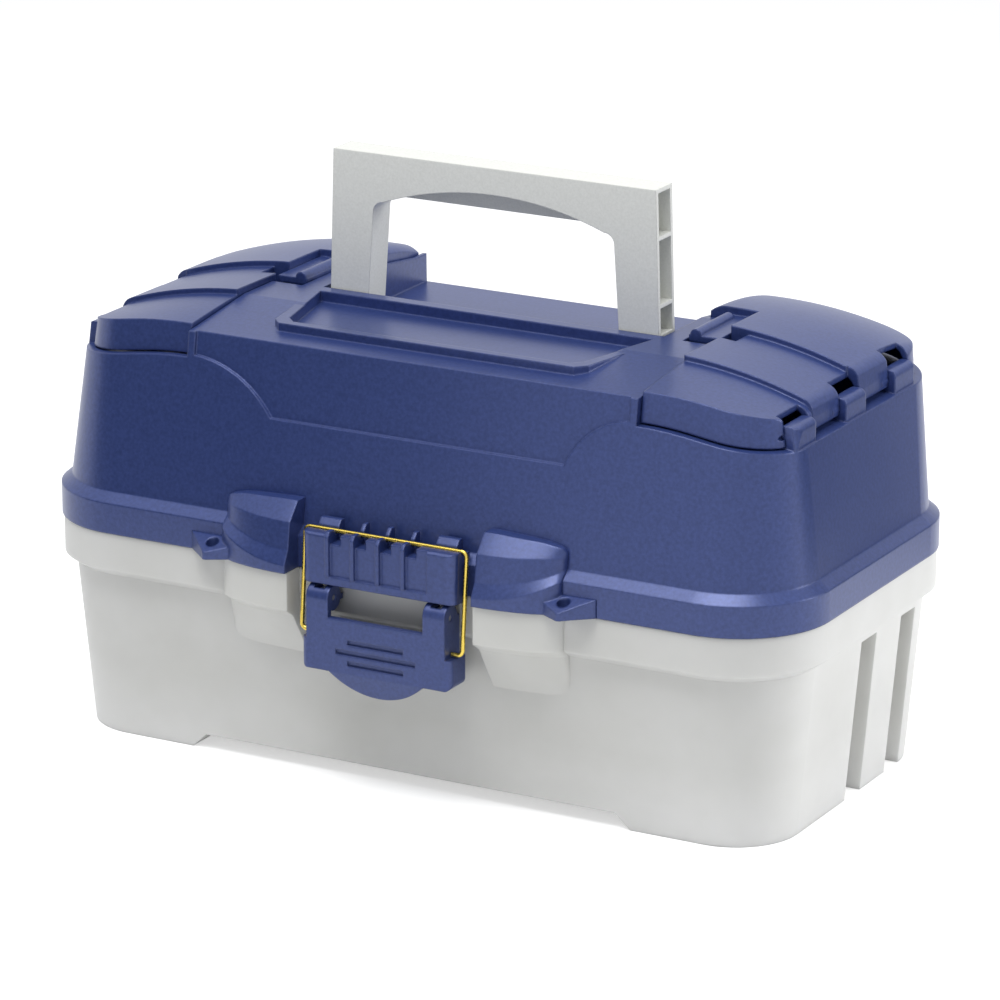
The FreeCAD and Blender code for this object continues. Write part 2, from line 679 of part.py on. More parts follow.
def base_block(name, skin, bottom, top, step_height):
    """The base's outer form, or the space inside it when a skin is given."""
    low_draw = s.foot_draw + skin
    waist = s.band_draw + s.band_step + skin
    return loft(name, [
        rim_section(name + "_foot", low_draw, low_draw, bottom),
        rim_section(name + "_waist", waist, waist, step_height),
        rim_section(name + "_band", s.band_draw + skin, s.band_draw + skin, step_height + s.band_slope),
        rim_section(name + "_top", s.band_draw + skin, s.band_draw + skin, top),
    ])


def foot_gap(name, lift, spread):
    """The space under the raised middle of the floor, as wide as the box is deep."""
    start = foot_start - spread
    lower = ZERO - s.foot_overrun
    shape = outline(name + "_outline", "XZ", [
        (-start - s.foot_overrun, lower), (start + s.foot_overrun, lower),
        (start - s.foot_slope, s.foot_height + lift), (s.foot_slope - start, s.foot_height + lift)])
    return extrude(name, shape, "XZ", 2 * deep_half, -deep_half)


def channel_boxes(name, skin, top):
    """The two channels in each end wall."""
    channels = []
    places = (("a", s.channel_a_front, s.channel_a_width), ("b", s.channel_b_front, s.channel_b_width))
    for mark, front, width in places:
        one = box(f"{name}_{mark}", (channel_depth_at - skin, front - skin, -s.foot_overrun),
                  (full_half, front + width + skin, top + skin))
        channels += both_sides(f"{name}_{mark}", one)
    return channels


arm_inner_x = tray_half + s.arm_gap
arm_outer_x = arm_inner_x + s.arm_thick
pivot_rise = s.tray_pitch
base_pivot_z = tray_bottom + s.pivot_height - s.pivot_share * pivot_rise
base_pivot_y = pivot_front_y + s.pivot_step_y + s.pivot_share * s.pivot_step_y
boss_face_x = arm_outer_x + s.arm_gap


def rear_knuckles(name, offsets, web_low, web_high, web_start):
    """Round knuckles on the rear hinge axis with the webs that carry them."""
    made = []
    for number, offset in enumerate(offsets):
        start = hinge_centre + (s.hinge_length + s.hinge_gap) * offset - s.hinge_length / 2
        barrel = rod(f"{name}_barrel_{number}", "X", (start, hinge_y, s.rim_height), s.hinge_radius,
                     s.hinge_length)
        web = box(f"{name}_web_{number}", (start, web_start, web_low),
                  (start + s.hinge_length, hinge_y, web_high))
        made += both_sides(f"{name}_barrel_{number}", barrel)
        made += both_sides(f"{name}_web_{number}", web)
    return made


def make_base():
    outer = base_block("base_outer", ZERO, ZERO, s.rim_height - s.rim_gap, band_bottom - s.band_slope)
    space = base_block("base_space", s.base_wall, s.floor_thickness, s.rim_height + s.overrun,
                       band_bottom - s.band_slope)
    raised = foot_gap("base_raised_floor", s.floor_thickness, -s.floor_thickness)
    room = cut("base_room", space, [raised] + channel_boxes("channel_room", s.base_wall, channel_top))
    shell = cut("base_open_shell", outer, [room, foot_gap("base_foot_gap", ZERO, ZERO)]
                + channel_boxes("channel", ZERO, channel_top))
    additions = rear_knuckles("base_knuckle", (-1, 1), s.rim_height - s.web_height, s.rim_height,
                              s.rim_half_width - s.band_draw - s.base_wall / 2)
    lug_inner = s.window_half + s.arm_wall + s.lug_gap
    lug_width = s.arm_half - s.arm_wall - s.lug_gap - lug_inner
    lever_axis_y = lever_front_y + s.lever_eye
    additions += both_sides("dome_bulge", dome_bulge())
    lug_arm = box("lug_arm", (lug_inner, lever_axis_y, lever_axis_z - s.lug_height / 2),
                  (lug_inner + lug_width, s.base_wall / 2 + s.band_draw - s.rim_half_width,
                   lever_axis_z + s.lug_height / 2))
    lug_end = rod("lug_end", "X", (lug_inner, lever_axis_y, lever_axis_z), s.lug_height / 2, lug_width)
    additions += both_sides("lug_arm", lug_arm) + both_sides("lug_end", lug_end)
    for mark, forward in (("front", ZERO), ("rear", s.arm_spread)):
        rod_out = rod(f"arm_boss_rod_{mark}", "X", (boss_face_x, base_pivot_y + forward, base_pivot_z),
                      s.boss_radius, full_half - boss_face_x)
        additions += both_sides(f"arm_boss_{mark}", common(f"arm_boss_{mark}", [rod_out, outer]))
    solid = fuse("base_with_mounts", [shell] + additions)
    holes = [rod("base_pin_hole", "X", (hinge_centre - 3 * s.hinge_length, hinge_y, s.rim_height),
                 s.hinge_pin_radius + s.run_fit, 6 * s.hinge_length)]
    holes += both_sides("base_pin_hole", holes.pop())
    lug_hole = rod("lug_hole", "X", (s.window_half, lever_axis_y, lever_axis_z),
                   s.latch_pin_radius + s.run_fit, s.arm_half - s.window_half)
    holes += both_sides("lug_hole", lug_hole)
    for mark, forward in (("front", ZERO), ("rear", s.arm_spread)):
        hole = rod(f"boss_hole_{mark}", "X",
                   (boss_face_x - s.overrun, base_pivot_y + forward, base_pivot_z),
                   s.rivet_radius + s.run_fit, s.overrun + s.boss_radius)
        holes += both_sides(f"boss_hole_{mark}", hole)
    keep("base_shell", cut("base_shell_solid", solid, holes))


def dome_turns():
    """Along a dome: how far along as a share of its length, and how far out as a share of its reach."""
    turns = [math.radians(degrees) for degrees in (0, 18, 36, 52, 66, 78, 87)]
    return [(math.sin(turn), math.cos(turn)) for turn in turns]


def dome_station(name, along, points):
    section = outline(name, "YZ", points)
    section.setExpression("Placement.Base.x", (s.dome_inner_x + s.dome_length * along).text)
    return section


def dome_bulge():
    """The base stands out under a dome, and that bulge fades into the wall lower down."""
    band_y = s.band_draw - s.rim_half_width
    waist_y = band_y + s.band_step
    low_share = (band_bottom - s.band_slope - bulge_bottom) / (band_bottom - s.band_slope)
    low_y = waist_y + (s.foot_draw - s.band_draw - s.band_step) * low_share
    reach = s.dome_lip_reach - s.band_draw
    root_depth = s.base_wall / 2
    sections = []
    for number, (along, out) in enumerate(dome_turns()):
        sections.append(dome_station(f"bulge_section_{number}", along, [
            (band_y + root_depth, s.rim_height - s.rim_gap), (band_y + root_depth, band_bottom),
            (waist_y + root_depth, band_bottom - s.band_slope), (low_y + root_depth, bulge_bottom),
            (waist_y - reach * out, band_bottom - s.band_slope), (band_y - reach * out, band_bottom),
            (band_y - reach * out, s.rim_height - s.rim_gap)]))
    return loft("bulge", sections, ruled=False)


def make_hinge_pins():
    length = 3 * s.hinge_length + 2 * s.hinge_gap
    start = hinge_centre - length / 2
    pin = rod("hinge_pin", "X", (start, hinge_y, s.rim_height), s.hinge_pin_radius, length)
    keep("hinge_pin_right", pin)
    keep("hinge_pin_left", mirrored("hinge_pin_mirror", pin))


def crowned(name, points, body_solid):
    """The drafted block under a roof line that runs from front to back."""
    low = ledge_top
    line = [(-deep_half, low), (deep_half, low)] + points
    return common(name, [extrude(name + "_roof", outline(name + "_line", "YZ", line), "YZ",
                                 2 * full_half, -full_half), body_solid])


def deck_points():
    rear = deck_front_y
    return [(deep_half, deck_front), (rear, deck_front), (s.deck_break_y, deck_middle),
            (-s.deck_break_y, deck_middle), (-rear, deck_front), (-deep_half, deck_front)]


def crown_section(name, y, top, start, skin):
    """A cross section of an access lid: level, falling to the hinge side, then rounded down."""
    side_x = s.rim_half_length - s.seam_draw_x - s.cover_inset - skin
    radius = s.end_crown_radius
    edge_x = side_x - s.side_round * round_run_share
    run = edge_x - start
    fall = radius - root(radius * radius - run * run)
    bulge = radius - root(radius * radius - (run * run + fall * fall) / 4)
    edge_z = top - fall
    side_z = edge_z - s.side_round * round_drop_share
    inner_x = part_rear_x + s.seam_gap / 2 + skin
    section = outline(name, "XZ", [
        (inner_x, s.rim_height), (side_x, s.rim_height),
        (side_x, side_z, s.side_round * round_bulge_share), (edge_x, edge_z, bulge), (start, top),
        (inner_x + s.tongue_round - skin, top, s.tongue_fall / 4), (inner_x, top - s.tongue_fall)])
    section.setExpression("Placement.Base.y", y.text)
    return section


def panels(name, skin, drop):
    """The four panels of an access lid, each a step higher than the one before it."""
    step_one = skin - s.step_one_y
    step_two = skin + s.step_two_y
    lap = s.cover_gap
    rows = [
        ("front", [(-deck_front_y, lid_front_low, front_crown_start),
                   (step_one + lap, lid_front_high, end_crown_start)]),
        ("second", [(step_one, lid_second_low, end_crown_start),
                    (step_two + lap, lid_second_high, end_crown_start)]),
        ("third", [(step_two, lid_third_low, end_crown_start), (s.step_three_y, lid_third_high, end_crown_start),
                   (s.rear_middle_y, lid_rear_low, end_crown_start), (s.rear_end_y, lid_rear_high, end_crown_start)]),
    ]
    made = []
    for mark, stations in rows:
        sections = [crown_section(f"{name}_{mark}_{number}", y, top - drop, start, skin)
                    for number, (y, top, start) in enumerate(stations)]
        made.append(loft(f"{name}_{mark}", sections, ruled=len(sections) == 2))
    return fuse(name, made)


def under_ledge(name, lift):
    """Everything under the ledge round the access lids, which bends and then falls to the ends."""
    level = seam_height - s.ledge_low + lift
    bend_end = part_x + s.ledge_bend
    bend_z = level - s.ledge_bend_drop
    end_z = level - s.ledge_end_drop
    shape = outline(name + "_line", "XZ", [
        (-full_half, s.rim_height), (full_half, s.rim_height), (full_half, end_z),
        (bend_end, bend_z, s.ledge_bend_bulge), (part_x, level), (-part_x, level, s.ledge_bend_bulge),
        (-bend_end, bend_z), (-full_half, end_z)])
    return extrude(name, shape, "XZ", 2 * deep_half, -deep_half)


def upper_block(name, skin, top):
    return loft(name, [wall_section(name + "_low", ledge_top, skin), wall_section(name + "_high", top, skin)])


def access_cover(name, skin, drop, low):
    """The body of an access lid, from a level up."""
    block = upper_block(name + "_block", skin + s.cover_inset, roof_height)
    part = s.seam_gap / 2 + skin
    plan = outline(name + "_plan", "XY", [
        (part_x + part, -deep_half), (full_half, -deep_half), (full_half, deep_half),
        (part_rear_x + part, deep_half), (part_rear_x + part, s.part_rear_y + part),
        (part_x + part, s.part_rear_y + part)])
    field = extrude(name + "_field", plan, "XY", roof_height - low, low)
    return common(name, [panels(name + "_panels", skin, drop), block, field])


def knuckle_starts():
    return [s.knuckle_front_y + s.knuckle_pitch * number for number in range(3)]


def ear_starts():
    """Front ends of the lid's hinge eyes, one beside each knuckle on the inner sides."""
    first, second, third = knuckle_starts()
    return [first + s.knuckle_length + s.ear_gap, second - s.ear_gap - s.ear_length,
            second + s.knuckle_length + s.ear_gap, third - s.ear_gap - s.ear_length]


def make_lid():
    flange = loft("flange", [
        rim_section("flange_low", ZERO, ZERO, s.rim_height),
        rim_section("flange_high", ZERO, ZERO, s.rim_height + s.flange_height),
        rim_section("flange_ledge", s.ledge_width, s.ledge_width, ledge_top)])
    block = upper_block("shell_block", ZERO, roof_height)
    deck = crowned("deck", deck_points(), block)
    low_part = common("shell_low", [block, under_ledge("under_ledge", ZERO)])
    part = s.seam_gap / 2
    deck_plan = outline("deck_plan", "XY", [
        (-part_x + part, -deep_half), (part_x - part, -deep_half), (part_x - part, s.part_rear_y - part),
        (part_rear_x - part, s.part_rear_y - part), (part_rear_x - part, deep_half),
        (part - part_rear_x, deep_half), (part - part_rear_x, s.part_rear_y - part),
        (part - part_x, s.part_rear_y - part)])
    deck_field = extrude("deck_field", deck_plan, "XY", roof_height - ledge_top, ledge_top)
    middle = common("middle_deck", [deck, deck_field])
    border_plan = outline("border_plan", "XY", dish_plan(s.border_width))
    border = extrude("border", border_plan, "XY", border_height - recess_floor, recess_floor)
    outside = fuse("lid_outside", [flange, low_part, middle, border])

    room = lid_room()
    hinge_rail = box("hinge_rail",
                     (bin_outer_x + s.bin_wall, -bin_half_front - s.bin_wall, end_floor - s.lid_wall),
                     (full_half, bin_half_rear + s.bin_wall, roof_height))
    hollow = cut("lid_hollow", room, both_sides("hinge_rail", hinge_rail) + pivot_blocks())
    mouth = compartment_block("compartment_mouth", ZERO, cup_top - s.overrun, roof_height)
    shell = cut("lid_walls", outside, [hollow] + both_sides("compartment_mouth", mouth) + top_cuts())
    round_bulge = s.knuckle_round * (1 - math.cos(math.pi / 4))
    outer_x = s.rim_half_length
    knuckle_line = outline("top_knuckle_line", "XZ", [
        (knuckle_x, end_floor), (outer_x, end_floor), (outer_x, knuckle_top),
        (knuckle_x + s.knuckle_round, knuckle_top, round_bulge), (knuckle_x, knuckle_top - s.knuckle_round)])
    side_x = s.rim_half_length - s.seam_draw_x
    edge_line = outline("top_knuckle_edge", "XZ", [
        (knuckle_x, end_floor), (side_x, end_floor), (side_x, knuckle_top - s.knuckle_round, round_bulge),
        (side_x - s.knuckle_round, knuckle_top), (knuckle_x, knuckle_top)])
    rail = common("top_knuckle_rail", [
        extrude("top_knuckle_inner", knuckle_line, "XZ", 2 * deep_half, -deep_half),
        extrude("top_knuckle_outer", edge_line, "XZ", 2 * deep_half, -deep_half), block])
    knuckles = []
    for number, start in enumerate(knuckle_starts()):
        field = box(f"top_knuckle_field_{number}", (knuckle_x - s.overrun, start, end_floor - s.overrun),
                    (outer_x, start + s.knuckle_length, roof_height))
        knuckles += both_sides(f"top_knuckle_{number}", common(f"top_knuckle_{number}", [rail, field]))
    additions = knuckles + rear_knuckles("lid_knuckle", (0,), s.rim_height, s.rim_height + s.web_height,
                                         s.rim_half_width - s.lid_wall)
    solid = fuse("lid_with_hinges", [shell] + additions)
    pin_hole = rod("lid_pin_hole", "X", (hinge_centre - 3 * s.hinge_length, hinge_y, s.rim_height),
                   s.hinge_pin_radius + s.run_fit, 6 * s.hinge_length)
    pin_start = s.knuckle_front_y + s.pin_cover
    top_hole = rod("top_pin_hole", "Y", (access_axis_x, pin_start - s.seam_gap, access_axis_z),
                   s.access_pin_radius + s.run_fit, 2 * deep_half)
    stub_hole = rod("stub_hole", "X", (recess_half - s.overrun, s.handle_axis_y, handle_axis_z),
                    s.stub_radius + s.run_fit, s.stub_length + s.overrun + s.lid_wall)
    holes = both_sides("lid_pin_hole", pin_hole) + both_sides("top_pin_hole", top_hole)
    holes += both_sides("stub_hole", stub_hole)
    keep("lid_shell", cut("lid_shell_solid", solid, holes))


def compartment_block(name, skin, low, high):
    """A block over a compartment's plan, spread by a skin."""
    plan = rounded(name + "_plan", (bin_outer_x - bin_inner_x) / 2 + skin,
                   (bin_half_rear + bin_half_front) / 2 + skin, s.bin_corner + skin, low,
                   (bin_inner_x + bin_outer_x) / 2, (bin_half_rear - bin_half_front) / 2)
    return extrude(name, plan, "XY", high - low, low)


def make_compartments():
    """The cups under the access lids. They meet the underside of the lid shell's top."""
    outside = compartment_block("cup_outside", s.bin_wall, bin_floor, cup_top)
    inside = compartment_block("cup_inside", ZERO, bin_floor + s.bin_wall, roof_height)
    right = keep("compartment_right", cut("cup", outside, [inside]))
    keep("compartment_left", mirrored("cup_mirror", right))


def pivot_blocks():
    """Solid blocks beside the recess that hold the handle's stubs."""
    block = box("pivot_block", (recess_half, recess_front_y, recess_floor - s.lid_wall),
                (recess_half + s.stub_length + 2 * s.lid_wall, s.part_rear_y, roof_height))
    return both_sides("pivot_block", block)


def lid_room():
    """The space inside the lid shell, below the seam and below the two levels of the deck."""
    skin = s.lid_wall
    low = loft("room_flange", [
        rim_section("room_flange_low", skin, skin, s.rim_height - s.overrun),
        rim_section("room_flange_high", skin, skin, s.rim_height + s.flange_height),
        rim_section("room_flange_ledge", s.ledge_width + skin, s.ledge_width + skin, ledge_top)])
    high = upper_block("room_high", skin, deck_front - s.lid_wall * 2)
    over_seam = box("room_over_seam", (-full_half, -deep_half, recess_floor - skin),
                    (full_half, deep_half, roof_height))
    over_end = box("room_over_end", (part_x - 2 * skin, -deep_half, end_floor), (full_half, deep_half, roof_height))
    low_room = cut("room_low", high, [over_seam] + both_sides("room_over_end", over_end))
    front_field = box("room_front_field", (2 * skin - part_x, -deep_half, ledge_top),
                      (part_x - 2 * skin, recess_front_y - skin, roof_height))
    front_room = common("room_front", [high, front_field])
    return fuse("lid_space", [low, low_room, front_room])


def dish_plan(spread):
    front = s.dish_front_y - spread
    rear = s.dish_rear_y + spread
    slant = s.border_width
    return [(-s.dish_half_front - spread + slant, front), (s.dish_half_front + spread - slant, front),
            (s.dish_half_front + spread, front + slant), (s.dish_half_rear + spread, rear),
            (-s.dish_half_rear - spread, rear), (-s.dish_half_front - spread, front + slant)]


def top_cuts():
    """Recesses in the middle deck: behind the handle, the dish, and round the finger tabs."""
    recess = box("handle_recess", (-recess_half, recess_front_y, recess_floor),
                 (recess_half, deep_half, roof_height))
    dish_line = outline("dish_outline", "XY", dish_plan(ZERO))
    dish = extrude("dish", dish_line, "XY", roof_height - dish_floor, dish_floor)
    cuts = [recess, dish, front_relief()]
    tab_end = part_x - s.tab_reach - s.seam_gap
    tab_dip = box("tab_dip", (tab_end, s.tab_front_y - s.finger_length, tab_bottom - s.seam_gap),
                  (part_x + s.overrun, s.part_rear_y, roof_height))
    finger_dip = box("finger_dip", (tab_end, s.tab_front_y - s.finger_length, tab_bottom - s.finger_depth),
                     (part_x - s.lid_wall, s.tab_front_y, roof_height))
    cuts += both_sides("tab_dip", tab_dip)
    cuts += both_sides("finger_dip", finger_dip)
    return cuts


def front_relief():
    """The shallow panel let into the front wall under the deck."""
    shape = outline("relief_outline", "XZ", [
        (-relief_half_top, roof_height), (-relief_half_top, seam_height, -s.relief_bulge),
        (-s.relief_half_low, relief_bottom),
        (s.relief_half_low + s.relief_shift, relief_bottom, -s.relief_bulge),
        (relief_half_top, seam_height), (relief_half_top, roof_height)])
    slab = extrude("relief_slab", shape, "XZ", deep_half, -deep_half)
    kept = upper_block("relief_kept", s.relief_depth, roof_height)
    return cut("relief", slab, [kept])


def make_latch_catch():
    """The block the bail hooks over, with ribs, panels and notches in front and ribs behind the bail."""
    wall_y = s.lid_wall - s.rim_half_width
    front = catch_front_y
    groove_y = bail_bar_y - s.bail_wire - s.bail_gap
    rear_y = bail_bar_y + s.bail_wire + s.bail_gap
    lip_top = catch_top + s.catch_lip
    crest = lip_top + s.catch_rib_crest
    profile = outline("catch_profile", "YZ", [
        (wall_y, s.rim_height), (wall_y, catch_top), (groove_y, catch_top), (groove_y, lip_top),
        (front + s.catch_bevel, lip_top), (front, lip_top - s.catch_bevel), (front, catch_bottom),
        (-s.rim_half_width - s.lug_gap, catch_bottom), (-s.rim_half_width - s.lug_gap, s.rim_height)])
    slab = extrude("catch_slab", profile, "YZ", 2 * s.catch_half, -s.catch_half)
    bulge = s.catch_round * (1 - math.cos(math.pi / 4))
    plan = outline("catch_plan", "XY", [
        (-s.catch_half, wall_y), (-s.catch_half, front + s.catch_round, bulge),
        (s.catch_round - s.catch_half, front), (s.catch_half - s.catch_round, front, bulge),
        (s.catch_half, front + s.catch_round), (s.catch_half, wall_y)])
    field = extrude("catch_field", plan, "XY", roof_height - catch_bottom, catch_bottom)
    block = common("catch_rounded", [slab, field])
    cuts = []
    ribs = []
    rear_top = catch_top + s.catch_rear_rise
    for number in range(int(s.catch_rib_count.value)):
        left = s.catch_rib_first + s.catch_rib_pitch * number - s.catch_rib_width / 2
        right = left + s.catch_rib_width
        cuts.append(box(f"catch_panel_{number}", (right, front - s.overrun, catch_bottom + s.catch_rib_foot),
                        (left + s.catch_rib_pitch, front + s.catch_panel_depth, roof_height)))
        cuts.append(box(f"catch_notch_{number}", (right, front - s.overrun, lip_top - s.catch_notch_depth),
                        (right + s.catch_notch_width, rear_y, roof_height)))
        front_line = outline(f"catch_rib_line_{number}", "YZ", [
            (groove_y, catch_top), (groove_y, lip_top), (groove_y - s.catch_rib_crest, crest),
            (front + s.catch_bevel, crest), (front - s.catch_rib_proud, lip_top - s.catch_bevel),
            (front - s.catch_rib_proud, catch_bottom + s.catch_rib_foot),
            (front + s.catch_panel_depth, catch_bottom + s.catch_rib_foot)])
        ribs.append(extrude(f"catch_rib_{number}", front_line, "YZ", s.catch_rib_width, left))
    last = s.catch_rib_first + s.catch_rib_pitch * s.catch_rib_count
    behind = [(-s.catch_rear_half, s.catch_rib_first + s.catch_rib_width / 2),
              (last - s.catch_rib_width / 2, s.catch_rear_half)]
    for number in range(1, int(s.catch_rib_count.value)):
        middle = s.catch_rib_first + s.catch_rib_pitch * number
        behind.append((middle - s.catch_rib_width / 2, middle + s.catch_rib_width / 2))
    for number, (left, right) in enumerate(behind):
        rear_line = outline(f"catch_rear_line_{number}", "YZ", [
            (rear_y, catch_top), (wall_y, catch_top), (wall_y, rear_top),
            (wall_y - s.catch_rear_rise / 2, rear_top), (rear_y, catch_top + s.catch_rear_rise / 2)])
        ribs.append(extrude(f"catch_rear_{number}", rear_line, "YZ", right - left, left))
    whole = fuse("catch", [cut("catch_cut", block, cuts)] + ribs)
    keep("latch_catch", cut("latch_catch_solid", whole, [doc.getObject("flange"), doc.getObject("shell_low_0")]))


def dome_block():
    """A dome beside the latch: the flange and its ledge swing out and drop under it."""
    wall_y = 2 * s.lid_wall + s.ledge_width - s.rim_half_width
    shoulder_share = 0.6
    sections = []
    for number, (along, out) in enumerate(dome_turns()):
        ledge_y = s.ledge_width - s.rim_half_width - s.dome_reach * out
        ledge_z = ledge_top - s.dome_drop * (out * out)
        lip_y = -s.rim_half_width - s.dome_lip_reach * out
        lip_z = s.rim_height + s.flange_height - s.dome_lip_drop * (out * out)
        top_z = ledge_top + s.dome_rise * out ** 0.25
        sections.append(dome_station(f"dome_section_{number}", along, [
            (wall_y, s.rim_height), (wall_y, top_z),
            (s.ledge_width - s.rim_half_width - s.dome_crest * out, top_z),
            (ledge_y + s.dome_shoulder * out, ledge_z + (top_z - ledge_z) * shoulder_share),
            (ledge_y, ledge_z), (lip_y, lip_z), (lip_y, s.rim_height)]))
    return loft("dome_body", sections, ruled=False)


def make_tie_ears():
    """Plates with a hole at the foot of the flange. Their tops slope down to the front corner."""
    face_y = -s.rim_half_width
    plan = outline("ear_plan", "XY", [
        (s.ear_inner_x, face_y), (s.ear_corner_x - s.ear_hole_radius, ear_front_y, s.ear_hole_radius / 4),
        (s.ear_corner_x, ear_front_y + s.ear_hole_radius / 4), (s.ear_outer_x, face_y)])
    line = outline("ear_line", "YZ", [
        (ear_front_y - s.overrun, s.rim_height), (face_y, s.rim_height),
        (face_y, s.rim_height + s.ear_root_height), (ear_front_y, s.rim_height + s.ear_tip_height),
        (ear_front_y - s.overrun, s.rim_height + s.ear_tip_height)])
    plate = common("ear", [extrude("ear_plate", plan, "XY", s.flange_height, s.rim_height),
                           extrude("ear_slope", line, "YZ", s.ear_outer_x - s.ear_inner_x, s.ear_inner_x)])
    hole = rod("tie_hole", "Z", (s.ear_hole_x, ear_hole_y, s.rim_height - s.overrun),
               s.ear_hole_radius, s.ear_root_height + 2 * s.overrun)
    dome = cut("dome", dome_block(), [doc.getObject("flange"), doc.getObject("shell_low_0")])
    right = keep("tie_ear_right", cut("tie_ear", fuse("dome_and_ear", [plate, dome]), [hole]))
    keep("tie_ear_left", mirrored("tie_ear_mirror", right))


def make_access_lids():
    low = end_floor
    outer = access_cover("cover_outer", ZERO, ZERO, low)
    inner = access_cover("cover_inner", s.lid_skin, s.lid_skin, low - s.overrun)
    edge_cut = box("cover_edge_cut", (bin_outer_x, s.knuckle_front_y, low - s.overrun),
                   (full_half, bin_half_rear + s.overrun, access_axis_z - s.ear_radius - s.skirt_lift / 8))
    notches = []
    for number, start in enumerate(knuckle_starts()):
        notches.append(box(f"cover_notch_{number}",
                           (knuckle_x - s.ear_gap, start - s.ear_gap, low - s.overrun),
                           (full_half, start + s.knuckle_length + s.ear_gap, roof_height)))
    below = under_ledge("under_cover", s.cover_gap)
    cover = cut("cover_notched", outer, [inner, below, edge_cut] + notches)
    parts = [cover]
    for number, start in enumerate(ear_starts()):
        parts.append(rod(f"eye_{number}", "Y", (access_axis_x, start, access_axis_z), s.ear_radius,
                         s.ear_length))
    tab = box("tab_plate", (part_x - s.tab_reach, s.tab_front_y, tab_bottom),
              (part_x - s.seam_gap / 2, s.part_rear_y + s.lid_skin, tab_top))
    ridge = rod("tab_ridge_rod", "Y", (part_x - s.tab_reach + s.ridge_inset, s.tab_front_y, tab_top),
                s.tab_ridge, s.tab_rear_y - s.tab_front_y)
    cup_low = (part_x + s.seam_gap / 2, s.cup_front_y - s.lid_skin, lid_second_high - s.cup_depth - s.lid_skin)
    cup_outside = box("cup_block", cup_low, (part_x + s.cup_length + s.lid_skin, s.step_two_y + s.lid_skin,
                                             lid_second_high - s.lid_skin / 2))
    cup_space = box("cup_space", (part_x - s.tab_reach, s.cup_front_y, lid_second_high - s.cup_depth),
                    (part_x + s.cup_length, s.step_two_y, roof_height))
    shelled = cut("cover_with_cup", fuse("cover_and_cup", parts + [cup_outside]), [cup_space])
    solid = fuse("cover_with_tab", [shelled, tab, ridge])
    hole = rod("eye_hole", "Y", (access_axis_x, -deep_half, access_axis_z), s.access_pin_radius + s.run_fit,
               2 * deep_half)
    right = keep("access_lid_right", cut("access_lid_solid", solid, [hole]))
    keep("access_lid_left", mirrored("access_lid_mirror", right))
    first, second, third = knuckle_starts()
    pin_start = first + s.pin_cover
    pin = rod("access_pin", "Y", (access_axis_x, pin_start, access_axis_z), s.access_pin_radius,
              third + s.knuckle_length - pin_start)
    keep("access_hinge_pin_right", pin)
    keep("access_hinge_pin_left", mirrored("access_pin_mirror", pin))


def handle_line(name, inside):
    """The handle's outline from the front: two legs and the grip, about the given opening."""
    foot = handle_axis_z
    return outline(name, "XZ", [
        (s.grip_half_foot, foot), (s.handle_half_foot, foot), (s.handle_half_top, handle_top),
        (-s.handle_half_top, handle_top), (-s.handle_half_foot, foot), (-s.grip_half_foot, foot)] + inside)


def make_handle():
    corner = s.grip_corner * (1 - math.cos(math.pi / 4))
    spread = s.grip_half_foot - s.grip_half_top
    side = s.grip_half_top + spread * s.grip_corner / (grip_under - handle_axis_z)
    left_corner = [(-side, grip_under - s.grip_corner, -corner)]
    right_corner = [(s.grip_half_top - s.grip_corner, grip_under, -corner),
                    (side, grip_under - s.grip_corner)]
    flat_top = left_corner + [(s.grip_corner - s.grip_half_top, grip_under)] + right_corner
    arch_top = left_corner + [(s.grip_corner - s.grip_half_top, grip_under, -s.grip_arch)] + right_corner
    front_line = handle_line("handle_front_line", arch_top)
    front = extrude("handle_front", front_line, "XZ", s.handle_skin, s.handle_front_y)
    rear = extrude("handle_rear", handle_line("handle_rear_line", flat_top), "XZ",
                   s.handle_depth - s.handle_skin, s.handle_front_y + s.handle_skin)
    inside_front = s.handle_front_y + s.handle_skin
    inside_rear = s.handle_front_y + s.handle_depth - s.handle_skin
    grip_room = box("grip_room", (s.grip_corner - s.grip_half_top, inside_front, grip_under - s.overrun),
                    (s.grip_half_top - s.grip_corner, inside_rear, handle_top - s.handle_rib))
    rooms = [grip_room]
    levels = [(pocket_foot, rib_low), (rib_low + s.handle_rib, rib_high),
              (rib_high + s.handle_rib, handle_top - s.handle_rib)]
    for number, (low, high) in enumerate(levels):
        room = box(f"leg_room_{number}", (s.grip_half_foot + s.handle_skin, inside_front, low),
                   (full_half, inside_rear, high))
        rooms += both_sides(f"leg_room_{number}", room)
    eye_radius = s.handle_axis_y - s.handle_front_y
    frame = cut("handle_frame", fuse("handle_u", [front, rear]), rooms)
    foot = rod("handle_foot", "X", (s.grip_half_foot, s.handle_axis_y, handle_axis_z), eye_radius,
               s.handle_half_foot - s.grip_half_foot)
    stub = rod("handle_stub", "X", (s.handle_half_foot - s.handle_skin, s.handle_axis_y, handle_axis_z),
               s.stub_radius, s.stub_length + s.handle_skin)
    ends = both_sides("handle_foot", foot) + both_sides("handle_stub", stub)
    keep("handle", fuse("handle_solid", [frame] + ends))


